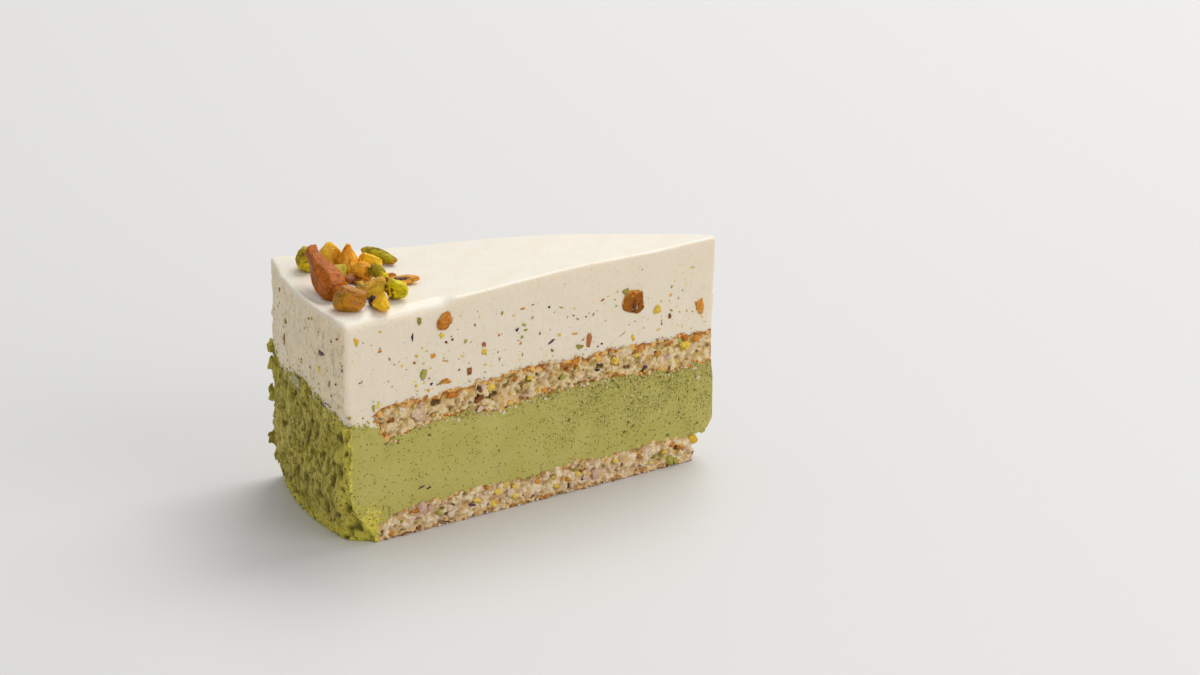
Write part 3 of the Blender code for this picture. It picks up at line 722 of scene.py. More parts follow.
def green_block():
    tip_steps = 30
    main_steps = 300
    band_steps = 11
    wall_steps = 8
    outer_steps = 26
    tip_part = np.linspace(0, 1, tip_steps + 1)
    wall = tip_steps + main_steps + band_steps
    inner = wall + wall_steps
    columns = inner + outer_steps
    legs, main, lips = 15, 66, 22
    rows = legs + main + lips
    keep = np.ones((columns, rows), bool)
    keep[:inner, :legs] = False
    keep[:wall, legs + main :] = False
    lip_r = 0.1120
    lip_z = 0.0262

    holes = green_pores(np.random.default_rng(5))

    def section(i, j, t):
        row = np.where(j <= legs, 4 * j / legs, 4 + 5 * (j - legs) / main)
        row = np.where(j > legs + main, 9 + 4 * (j - legs - main) / lips, row)
        share = np.clip((row - 4) / 5, 0, 1)
        lip_share = np.clip((row - 9) / 4, 0, 1)
        lip = row > 9
        # Up to the wall by the end of the middle sponge
        wall_r = mix(0.1076, MIDDLE_END_LOW + 0.0003, share)
        wall_z = mix(0.0254, INNER_LINE, lip_share)
        wall_r = np.where(lip, middle_end(wall_z, t) - OVERLAP, wall_r)
        r = np.where(
            i <= tip_steps + main_steps,
            TIP_END + (i - tip_steps) * (BAND_START - TIP_END) / main_steps,
            mix(BAND_START, wall_r, (i - tip_steps - main_steps) / band_steps),
        )
        low = base_top(r, t) - OVERLAP
        z = mix(low, middle_bottom(r, t) + OVERLAP, share)
        tip_r = mix(green_tip(z), TIP_END, tip_part[np.minimum(i, tip_steps)])
        r = np.where(i < tip_steps, tip_r, r)
        z = np.where(lip, wall_z, z)
        r = np.where(lip & (i <= wall), wall_r, r)
        # The outer band, down to the plate and up beside the sponge
        foot_top = level(BASE_TOP, BASE_END)
        z_in = np.where(row <= 4, mix(0.0, foot_top, row / 4), mix(foot_top, lip_z, share))
        z_in = np.where(lip, mix(lip_z, colour_line(lip_r, t) + 0.0003, lip_share), z_in)
        r_in = np.where(lip, mix(BASE_END, lip_r, lip_share), BASE_END)
        wall_part = np.clip((i - wall) / wall_steps, 0, 1)
        between = (i > wall) & (i <= inner)
        r = np.where(between, mix(wall_r, r_in, wall_part), r)
        start_z = np.where(lip, wall_z, mix(level(BASE_TOP, 0.108) - OVERLAP, MIDDLE_END_FLOOR, share))
        z = np.where(between, mix(start_z, z_in, wall_part), z)
        z_out = (colour_line(GREEN_RADIUS, t) + 0.0003) * row / 13
        bend = np.clip((i - inner) / outer_steps, 0, 1)
        outer = green_side(t, z_out)
        r = np.where(i > inner, mix(r_in, outer, bend), r)
        z = np.where(i > inner, mix(z_in, z_out, bend), z)
        return r, z

    def place(i, j, t):
        r, z = section(i, j, t)
        points = fan(r, t, z)
        size = np.minimum(1, r / 0.03)
        lift = 0.00010 * wobble(r, z, 4.0 + t, 0.009)
        under = step(0.0030, 0.0, level(MIDDLE_BOTTOM, r) - z) * (r < 0.108)
        torn_patch = under * step(-0.1, 0.4, wobble(r, 0.0, 46.0, 0.013))
        lift = lift + 0.00030 * step(0.0235, 0.027, z) * wobble(r, z, 8.0 + t, 0.0028)
        lift = lift + (0.00010 + 0.00034 * torn_patch) * under * wobble(r, z, 9.0 + t, 0.0010)
        near_side = step(columns - 7, columns, i)
        lift = lift + near_side * (0.00022 * wobble(r, z, 23.0, 0.0014) - 0.0002)
        deep = pits(r, z, holes, 1.3) * (abs(t) == 1)
        points += off_cut(t, lift * size - deep)
        side = (i == columns).astype(float)
        torn = np.zeros(len(r))
        pushed = np.zeros(len(r))
        on = np.nonzero(side)[0]
        arc = t[on] * ARC
        slant = arc + 0.35 * z[on]
        fibre = 1 - 2.2 * abs(wobble(slant, z[on] * 0.34, 15.0, 0.0026))
        thread = 1 - 2.2 * abs(wobble(slant, z[on] * 0.38, 27.0, 0.0013))
        holes_here = np.clip(-1.7 * wobble(arc, z[on] * 0.7, 25.0, 0.0019) - 0.5, 0, 1)
        below_line = step(0.0002, 0.0030, colour_line(GREEN_RADIUS, t[on]) - z[on])
        pushed[on] = (0.00036 * fibre + 0.00020 * thread - 0.0008 * holes_here) * below_line
        torn[on] = np.clip(1.1 * holes_here + 0.4 * step(0.1, -0.8, fibre), 0, 1)
        points += pushed[:, None] * outwards(t)
        # Torn holes, fibre creases and opened pores are darkened as painted shade
        pit_shade = np.clip(np.clip(deep / 0.0003, 0, 1) + torn, 0, 1)
        # Foot: where light is painted on the rounded foot, the low corner and the front strip of the outer
        # side
        low_corner = step(0.016, 0.004, z) * step(0.105, 0.112, r) * (abs(t) == 1)
        foot = np.maximum(step(0.0060, 0.0010, z) * side, low_corner)
        foot = np.maximum(foot, np.maximum(side, near_side) * step(-0.66, -0.95, t) * 0.8)
        near_tip = step(0.082, 0.022, r)
        dense = 0.14 + 0.95 * near_tip * step(0.010, 0.024, z) + 0.25 * near_tip + 0.45 * under
        dense = dense * (0.45 + 0.6 * step(-0.4, 0.5, wobble(r, z, 3.0, 0.0055))) + 0.6 * torn_patch
        outer = np.maximum(side, np.maximum(near_side * 0.55, low_corner * 0.8))
        lift_side = low_corner * 0.00035 * wobble(r, z, 83.0, 0.0016)
        points += off_cut(t, lift_side)
        return points, {"outer": outer, "pit_shade": pit_shade, "foot": foot, "dense": np.clip(dense, 0, 1)}

    def seen(a, b):
        return a[0] == b[0] and a[0] in (0, columns)

    points, faces, masks = block(keep, across_steps(150), place, seen)
    piece_from("green_mousse_block", points, faces, masks, green(), ["pistachio_mousse"])


def green_pores(rng):
    """The larger air bubbles that the knife opened, in clusters, most of them towards the tip."""
    places = []
    while len(places) < 120:
        r = rng.uniform(0.006, 0.116)
        z = rng.uniform(0.008, 0.028)
        near_tip = step(0.070, 0.020, r)
        high = step(0.013, 0.027, z)
        cluster = step(-0.1, 0.6, float(noise.noise((r / 0.006, z / 0.005, 3.0))))
        if rng.random() < (0.05 + 0.9 * near_tip * high + 0.25 * near_tip) * (0.15 + cluster):
            places.append((r, z, rng.uniform(0.00018, 0.00026) + 0.0002 * rng.random() ** 4))
    return places


# Sponges


def crumb(r, z, seed):
    """Height of torn crumb above the cut in metres, and its tone from fissure to grain, which follows the
    height so that fissures and hollows are painted shade and high crumbs painted light.
    """
    warp = 0.0006 * wobble(r, z, seed + 1.0, 0.0015)
    gap = scattered((r + warp) / 0.0021, (z - warp) / 0.0015, seed)[1]
    opened = scattered((r + warp) / 0.0026, (z + warp) / 0.0018, seed + 9.0)[0]
    fissure = np.clip(1 - gap / 0.16, 0, 1) * step(-0.3, 0.4, wobble(r, z, seed + 6.0, 0.004))
    hole = np.clip(1 - (opened / 0.36) ** 2, 0, 1) * step(-0.1, 0.3, wobble(r, z, seed + 7.0, 0.0045))
    cloud = wobble(r, z, seed + 11.0, 0.0028)
    lump = wobble(r, z, seed + 13.0, 0.0016)
    grain = wobble(r, z, seed + 5.0, 0.0008)
    lift = 0.16 * cloud + 0.34 * lump + 0.20 * grain - 0.34 * fissure - 0.60 * hole
    tone = 0.62 + 0.20 * cloud + 0.28 * lump + 0.14 * grain - 0.44 * fissure - 0.80 * hole
    return lift / 1000, np.clip(tone, 0, 1)


def bubbles(rng, count, low, high, size):
    """Places of hollows between two heights, and their radii up to a size."""
    places = []
    for n in range(count):
        r = rng.uniform(0.008, 0.110)
        z = rng.uniform(low, high)
        places.append((r, z, size * rng.uniform(0.4, 1.0) ** 1.5))
    return places


def photo_hollows(pixels):
    """Hollows of the front cut, given as pixel and radius in millimetres."""
    return [(*on_front_cut(x, y), radius * MM) for x, y, radius in pixels]


MIDDLE_HOLLOWS = (
    (434, 403, 1.0), (438, 402, 0.9), (598, 366.5, 0.8), (601.5, 366, 0.8), (626, 367.5, 0.6),
    (629, 367, 0.6), (478, 398, 0.8), (470, 403, 0.6), (560, 379, 0.6), (655, 352, 0.5),
)
BASE_HOLLOWS = (
    (417, 529, 0.6), (446, 514, 0.6), (520, 499, 0.5), (648, 463, 0.5), (560, 494, 0.5),
)


def sponge_masks(r, z, low, high, deep, tone, over, under):
    """Browned crust along both faces of the sponge, painted shade in the hollows, and the tone of the crumb
    with its painted shade and light.
    """
    ragged = 0.0006 * wobble(r, z, 64.0, 0.0016)
    thick = (0.0009 + 0.0014 * wobble(r, 0.0, 61.0, 0.0045)) * over
    upper = step(thick + 0.0004, thick - 0.0002, high - z + ragged) * (thick > 0.0002)
    thick = (0.0006 + 0.0014 * wobble(r, 0.0, 68.0, 0.0038)) * under
    lower = step(thick + 0.0004, thick - 0.0002, z - low + ragged) * (thick > 0.0002)
    hollow = np.clip(deep / 0.0006, 0, 1)
    return {"crust": np.clip(upper + lower, 0, 1), "pit_shade": hollow, "height": tone}


def crumb_cut(r, t, z, seed, front_holes, back_holes):
    """Points of a torn cut, the depth of its hollows, and the tone of its crumb."""
    holes = [pits(r, z, places, 1.1) for places in (front_holes, back_holes)]
    deep = np.where(t < 0, *holes) * (abs(t) == 1)
    lift, tone = crumb(r, z, seed + t)
    return fan(r, t, z) + off_cut(t, lift * np.minimum(1, r / 0.030) - deep), deep, tone


def at_tip(a, b):
    return a[0] == b[0] == 0


def base_sponge_block(coat):
    radii = np.array([*np.linspace(BASE_TIP, TIP_END, 12)[:-1], *np.linspace(TIP_END, BASE_END, 600)])
    columns = len(radii) - 1
    rows = 46
    keep = np.ones((columns, rows), bool)
    holes = bubbles(np.random.default_rng(21), 34, 0.0010, 0.0070, 0.0008)
    front_holes = photo_hollows(BASE_HOLLOWS) + holes[:14]

    def place(i, j, t):
        r = radii[i]
        share = j / rows
        high = base_top(r, t)
        z = high * share
        r = r + step(9, 0, i) * 0.0009 * wobble(z, t * 0.003, 2.2, 0.0016)
        points, deep, tone = crumb_cut(r, t, z, 20.0, front_holes, holes)
        foot = np.maximum(0, 0.0008 * wobble(r, 0.0, 31.0 + t, 0.0040) + 0.0002)
        foot = foot + np.maximum(0, 0.0005 * wobble(r, 0.0, 35.0 + t, 0.0013))
        points[:, 2] += np.where(abs(t) == 1, foot * (1 - share) ** 4, 0)
        return points, sponge_masks(r, z, 0.0, high, deep, tone, 0.7, 1.3)

    points, faces, masks = block(keep, across_steps(20), place, at_tip)
    piece_from("base_sponge_crumb", points, faces, masks, coat, ["base_sponge"])


def middle_sponge_block(coat):
    radii = np.array([*np.linspace(MIDDLE_TIP, TIP_END, 36)[:-1], *np.linspace(TIP_END, BAND_START, 560)])
    end_steps = 36
    main = len(radii) - 1
    columns = main + end_steps
    rows = 52
    keep = np.ones((columns, rows), bool)
    holes = bubbles(np.random.default_rng(22), 34, 0.029, 0.0360, 0.0009)
    front_holes = photo_hollows(MIDDLE_HOLLOWS) + holes[:12]

    def place(i, j, t):
        share = j / rows
        r = radii[np.minimum(i, main)]
        low = middle_bottom(r, t)
        high = middle_top(r, t)
        z = mix(low, high, share)
        end_z = mix(MIDDLE_END_FLOOR, MIDDLE_END_TOP, share)
        end_share = np.clip((i - main) / end_steps, 0, 1)
        r = mix(r, middle_end(end_z, t), end_share)
        z = mix(z, end_z, end_share)
        points, deep, tone = crumb_cut(r, t, z, 40.0, front_holes, holes)
        masks = sponge_masks(r, z, low, high, deep, tone, 1.6, 0.9)
        browned_end = step(0.62, 0.82, end_share + 0.14 * wobble(r, z, 49.0, 0.0020))
        masks["crust"] = np.maximum(masks["crust"], browned_end)
        return points, masks

    points, faces, masks = block(keep, across_steps(12), place, at_tip)
    piece_from("middle_sponge_crumb", points, faces, masks, coat, ["middle_sponge"])


# Broken kernels on top


def ball(steps):
    """Points and triangles of a unit ball."""
    mesh = bmesh.new()
    bmesh.ops.create_icosphere(mesh, subdivisions=steps, radius=1.0)
    points = np.array([point.co[:] for point in mesh.verts])
    faces = [[point.index for point in face.verts] for face in mesh.faces]
    mesh.free()
    return points, faces


def flatten(shape, normal, distance):
    """Presses what lies beyond a plane onto it, and says how far in the broken face each point is."""
    beyond = shape @ normal - distance
    rim = 0.03
    pressed = np.where(beyond > rim, beyond - rim / 2, np.maximum(beyond, 0) ** 2 / (2 * rim))
    return shape - pressed[:, None] * normal, step(-0.01, 0.06, beyond)


def unit(direction):
    direction = np.array(direction, float)
    return direction / np.linalg.norm(direction)


def nut(
    name, size, centre, turn, seed, look, squareness=0.8, taper=0.0, cuts=(),
    rough=0.07, ridges=0.0, waist=(), slits=(), fine=5, chips=14,
):
    """A broken kernel: a rounded lump with flat broken faces, fine wrinkles and a patch of skin."""
    flesh, deep, skin, skin_side, skin_reach = look
    points, faces = ball(fine)
    rng = np.random.default_rng(seed)
    shape = np.sign(points) * np.abs(points) ** squareness
    lump = 1 + rough * uneven((points[:, 0] + seed) / 0.8, points[:, 1] / 0.8, points[:, 2] + seed * 3.7)
    shape[:, 1:] *= (1 - taper * step(-0.75, 0.95, shape[:, 0]))[:, None]
    if waist:
        shape[:, 1:] *= along(waist, shape[:, 0])[:, None]
    shape *= lump[:, None]
    broken = np.zeros(len(shape))
    for direction, distance in cuts:
        shape, face = flatten(shape, unit(direction), distance)
        broken = np.maximum(broken, face)
    for n in range(chips):
        direction = unit(rng.normal(size=3))
        reach = (shape @ direction).max()
        shape, face = flatten(shape, direction, reach * rng.uniform(0.74, 0.92))
        broken = np.maximum(broken, face * 0.5)
    x, y, z = points.T
    wave = 0.026 * uneven(x * 2.6 + seed, y * 2.6, z * 2.6) + 0.022 * uneven(x * 6 + seed, y * 6, z * 6)
    wrinkle = uneven(x * 1.6 + seed, y * 8, z * 8)
    wave += (0.016 + ridges) * wrinkle + 0.014 * uneven(x * 14 + seed, y * 14, z * 14)
    slit = np.zeros(len(shape))
    for place, low, high in slits:
        bent = x - place - 0.05 * np.sin(z * 5)
        slit += np.exp(-((bent / 0.06) ** 2)) * step(low, low + 0.2, z) * step(high, high - 0.2, z)
    shape *= (1 + wave - 0.16 * slit)[:, None]
    covered = shape @ unit(skin_side) + 0.35 * uneven(x * 2 + seed, y * 2, z * 2)
    covered = step(-0.12, 0.12, covered - 1 + 2 * skin_reach) * (1 - 0.5 * broken)
    # Recessed wrinkles and slits, darkened in the coat as painted shade
    crease_shade = np.clip(0.6 * step(0.0, -0.045, wave) + slit, 0, 1)
    bend = np.array(Euler([math.radians(angle) for angle in turn], "XYZ").to_matrix())
    places = shape * (np.array(size) * MM / 2) @ bend.T + np.array(centre)
    if centre[2] > TOP:
        places[:, 2] = np.maximum(places[:, 2], TOP - 0.0003)
    coat = nut_coat(name, flesh, deep, skin)
    masks = {"skin": covered, "crease_shade": crease_shade}
    piece_from(name + "_piece", places, faces, masks, coat, [name])


def nut_coat(name, flesh, deep, skin):
    coat = Coat(name + "_flesh", 0.36, subsurface=0.1, reach=0.0008, specular=0.15)
    colour = coat.colour(coat.patches(1.7, 0.46, 0.68, detail=4, roughness=0.55), flesh, deep)
    colour = coat.colour(coat.patches(0.6, 0.56, 0.70, 0, 0.5, detail=3), colour, shade(flesh, 1.3, 0.01))
    skin = coat.colour(coat.patches(1.1, 0.42, 0.66, detail=4, stretch=(1, 1, 0.6)), skin, shade(skin, 1.5))
    edge = coat.sum(coat.mask("skin"), coat.patches(0.9, 0.3, 0.7, -0.3, 0.3, detail=3))
    colour = coat.colour(coat.span(edge, 0.40, 0.60), colour, skin)
    # Painted shade in the creases
    colour = coat.colour(coat.times(coat.mask("crease_shade"), 0.9), colour, shade(deep, 0.3))
    normal = coat.bump(coat.grain(0.9, detail=3), 0.35, 0.7)
    normal = coat.bump(coat.grain(0.4, detail=4), 0.18, 0.8, normal)
    gloss = coat.patches(1.0, 0.3, 0.7, 0.26, 0.50)
    return coat.finish(colour, normal, gloss)


# The cut kernel: distance to the axis, height, and how far its middle lies behind the cut
KERNEL_R = 0.0309
KERNEL_Z = 0.0481
KERNEL_DEPTH = 0.0014
SKIN_BROWN = (0.30, 0.105, 0.045)
SKIN_ROSE = (0.38, 0.15, 0.05)
SKIN_DARK = (0.07, 0.03, 0.035)
SKIN_OLIVE = (0.22, 0.15, 0.04)


def on_top(x, y, above):
    """Middle of a kernel of the heap, a little lower than its height above the top, as it settles."""
    return (x / 1000, y / 1000, TOP + (above - 0.25) / 1000)


def kernels():
    centre = fan(KERNEL_R, -1.0, KERNEL_Z) + off_cut(-1.0, -KERNEL_DEPTH)
    look = ((0.36, 0.11, 0.004), (0.20, 0.055, 0.002), (0.56, 0.25, 0.04), (-0.7, 0, 1), 0.30)
    sides = ((1, 0, 0.5), (-1, 0, 0.3), (-0.4, 0, -1), (0.6, 0, -0.8), (-0.3, 0, 1))
    cuts = (((0, -1, 0), 0.66), *((side, 0.9) for side in sides))
    turn = (0, 8, math.degrees(HALF))
    slits = ((-0.02, -0.75, 0.25), (0.26, -0.7, 0.1))
    size = (8.3, 5.0, 7.8)
    nut("cut_kernel", size, centre, turn, 3, look, 0.8, 0.05, cuts, 0.04, slits=slits, chips=2)

    look = ((0.42, 0.30, 0.004), (0.20, 0.13, 0.002), (0.58, 0.42, 0.010), (-0.2, -0.6, -0.9), 0.3)
    place = on_top(-49.5, 14.2, 3.39)
    cuts = (((0.7, 0.4, 0.5), 0.82),)
    nut("nut_back_green", (5.5, 7.2, 6.8), place, (8, -6, -30), 11, look, 0.7, 0.1, cuts)

    look = ((0.58, 0.19, 0.012), (0.42, 0.12, 0.006), (0.37, 0.095, 0.004), (-0.6, 0.2, 1), 0.80)
    place = on_top(-50.9, -2.9, 5.15)
    cuts = (((1, 0.3, 0), 0.92),)
    body = ((-1, 0.9), (-0.6, 1.0), (-0.2, 0.98), (0.2, 0.74))
    waist = (*body, (0.5, 0.54), (0.75, 0.52), (0.92, 0.80), (1, 1.3))
    size = (19.4, 7.2, 6.6)
    turn = (10, -23, 94)
    nut("nut_long", size, place, turn, 12, look, 0.66, 0.0, cuts, 0.05, waist=waist, fine=6, chips=3)

    look = ((1.0, 0.57, 0.06), (0.84, 0.42, 0.03), (0.86, 0.50, 0.05), (-1, 0.3, 0.2), 0.2)
    place = on_top(-42.6, 15.2, 3.24)
    cuts = (((0.2, -0.3, -1), 0.75),)
    nut("nut_yellow_round", (6.0, 6.0, 6.9), place, (0, 8, -20), 13, look, 0.8, 0.0, cuts)

    look = ((0.86, 0.35, 0.016), (0.64, 0.20, 0.006), (0.80, 0.40, 0.03), (0, -1, -0.3), 0.2)
    place = on_top(-40.0, 9.7, 3.75)
    cuts = (((-1, 0, 0), 0.8), ((0.4, 0.9, -0.3), 0.62))
    nut("nut_pyramid", (8.7, 9.2, 7.0), place, (0, -90, -20), 14, look, 0.85, 0.72, cuts)

    look = ((0.95, 0.60, 0.025), (0.80, 0.42, 0.012), (0.64, 0.30, 0.02), (0, -1, -0.5), 0.15)
    place = on_top(-34.2, 8.7, 2.5)
    cuts = (((0.3, 0.2, 1), 0.7),)
    nut("nut_slab", (6.2, 3.2, 4.5), place, (6, 10, -24), 15, look, 0.65, 0.0, cuts)

    look = ((0.88, 0.40, 0.022), (0.64, 0.24, 0.008), (0.74, 0.40, 0.04), (-1, -0.4, -0.3), 0.25)
    place = on_top(-38.7, 1.8, 2.53)
    cuts = (((-0.4, -0.5, 0.8), 0.8),)
    nut("nut_chunk", (5.3, 4.8, 5.2), place, (0, -8, -32), 16, look, 0.7, 0.0, cuts)

    look = ((0.48, 0.375, 0.003), (0.22, 0.16, 0.002), (0.44, 0.16, 0.015), (0.6, -0.3, -1), 0.38)
    place = on_top(-30.3, 12.3, 2.1)
    cuts = (((0, -1, -0.4), 0.6),)
    size = (11.2, 4.2, 4.0)
    nut("nut_long_green", size, place, (20, 9, -48), 17, look, 0.9, 0.35, cuts, ridges=0.03)

    look = ((0.34, 0.25, 0.004), (0.16, 0.12, 0.003), (0.58, 0.44, 0.008), (1, -0.3, 0.3), 0.3)
    place = on_top(-35.9, -2.2, 2.9)
    cuts = (((0.2, -0.6, -0.6), 0.6),)
    nut("nut_green_wedge", (5.8, 3.2, 4.0), place, (0, 38, -25), 18, look, 0.8, 0.2, cuts)

    look = ((0.74, 0.46, 0.03), (0.46, 0.30, 0.012), (0.66, 0.34, 0.045), (-0.2, -0.2, 1), 0.35)
    place = on_top(-40.5, -12.3, 2.82)
    cuts = (((0.3, -0.9, 0.3), 0.75),)
    nut("nut_olive", (7.0, 4.8, 4.8), place, (0, -30, -22), 19, look, 0.8, 0.1, cuts, ridges=0.03)

    look = ((0.74, 0.60, 0.005), (0.44, 0.34, 0.003), (0.22, 0.085, 0.006), (-0.8, -0.5, -0.7), 0.28)
    place = on_top(-36.0, -15.4, 2.72)
    cuts = (((-0.3, -1, 0.2), 0.7), ((0.6, 0, -1), 0.8))
    nut("nut_bright_green", (5.8, 4.6, 5.6), place, (12, 24, -20), 20, look, 0.7, 0.15, cuts)

    look = ((0.56, 0.22, 0.010), (0.26, 0.17, 0.006), SKIN_ROSE, (0.7, -0.1, 0.8), 0.50)
    place = on_top(-49.6, -18.8, 3.29)
    cuts = (((-0.2, -1, 0.35), 0.70), ((0.3, 0, 1), 0.80), ((-1, -0.4, 0.2), 0.78), ((0.8, -0.8, 0), 0.85))
    size = (8.3, 6.8, 6.2)
    nut("nut_front_block", size, place, (-6, 6, -18), 21, look, 0.62, 0.05, cuts, fine=6, chips=8)

    look = ((0.95, 0.55, 0.02), (0.80, 0.40, 0.01), SKIN_DARK, (-0.3, 1, 0.5), 0.10)
    place = on_top(-41.9, -21.2, 2.5)
    cuts = (((-1, 0, 0.2), 0.7),)
    size = (5.2, 5.6, 5.0)
    nut("nut_yellow_chip", size, place, (0, -80, -15), 22, look, 0.7, 0.78, cuts, chips=6)

    look = ((0.88, 0.42, 0.06), (0.68, 0.26, 0.03), SKIN_DARK, (-0.3, -0.7, 0.7), 0.07)
    place = on_top(-29.9, -4.8, 1.36)
    cuts = (((0.2, 0.9, 0), 0.6),)
    nut("nut_flake", (8.0, 4.7, 1.9), place, (4, -3, -12), 23, look, 0.7, 0.2, cuts, ridges=0.05)

    look = ((0.74, 0.60, 0.10), (0.46, 0.45, 0.05), (0.40, 0.44, 0.03), (1, 0, 0.3), 0.3)
    cuts = (((0, -1, 0.2), 0.7), ((1, 0, 0), 0.75), ((0, 0.2, 1), 0.8))
    place = on_top(-44.7, 3.5, 2.5)
    nut("nut_small_green", (4.0, 3.4, 4.8), place, (0, 10, 20), 24, look, 0.55, 0.0, cuts, chips=3)
    look = ((0.36, 0.12, 0.03), (0.24, 0.08, 0.02), SKIN_BROWN, (0, 0, 1), 0.5)
    nut("nut_red_bit", (3.4, 2.8, 1.9), on_top(-42.5, 1.1, 1.16), (0, 0, 50), 25, look)
    look = ((0.60, 0.42, 0.05), (0.40, 0.32, 0.04), SKIN_OLIVE, (0, 0, 1), 0.2)
    nut("nut_yellow_bit", (2.6, 2.3, 1.8), on_top(-41.9, -5.7, 1.05), (0, 0, 15), 26, look)
    look = ((0.10, 0.04, 0.03), (0.05, 0.02, 0.02), SKIN_DARK, (0, 0, 1), 0.7)
    nut("nut_purple_bit", (2.4, 2.2, 2.8), on_top(-42.9, -17.6, 1.5), (0, 20, 10), 27, look, 0.8, 0.2)


# Bits of nut in the mousse and the sponges, and crumbs

BIT_COLOURS = {
    "yellow": ((0.70, 0.44, 0.03), (0.86, 0.64, 0.10), "nut_yellow"),
    "amber": ((0.52, 0.26, 0.03), (0.80, 0.52, 0.11), "nut_yellow"),
    "olive": ((0.27, 0.24, 0.03), (0.46, 0.42, 0.09), "nut_green"),
    "orange": ((0.48, 0.15, 0.012), (0.74, 0.33, 0.045), "nut_orange"),
    "brown": ((0.20, 0.06, 0.015), (0.46, 0.17, 0.045), "nut_brown"),
    "dark": ((0.045, 0.02, 0.03), (0.16, 0.08, 0.11), "nut_dark"),
    "almond": ((0.60, 0.38, 0.27), (0.76, 0.60, 0.42), "nut_sponge_light"),
    "crumb": ((0.66, 0.50, 0.30), (0.84, 0.74, 0.56), "nut_sponge_light"),
    "green": ((0.30, 0.25, 0.02), (0.62, 0.54, 0.08), "pistachio_mousse"),
}
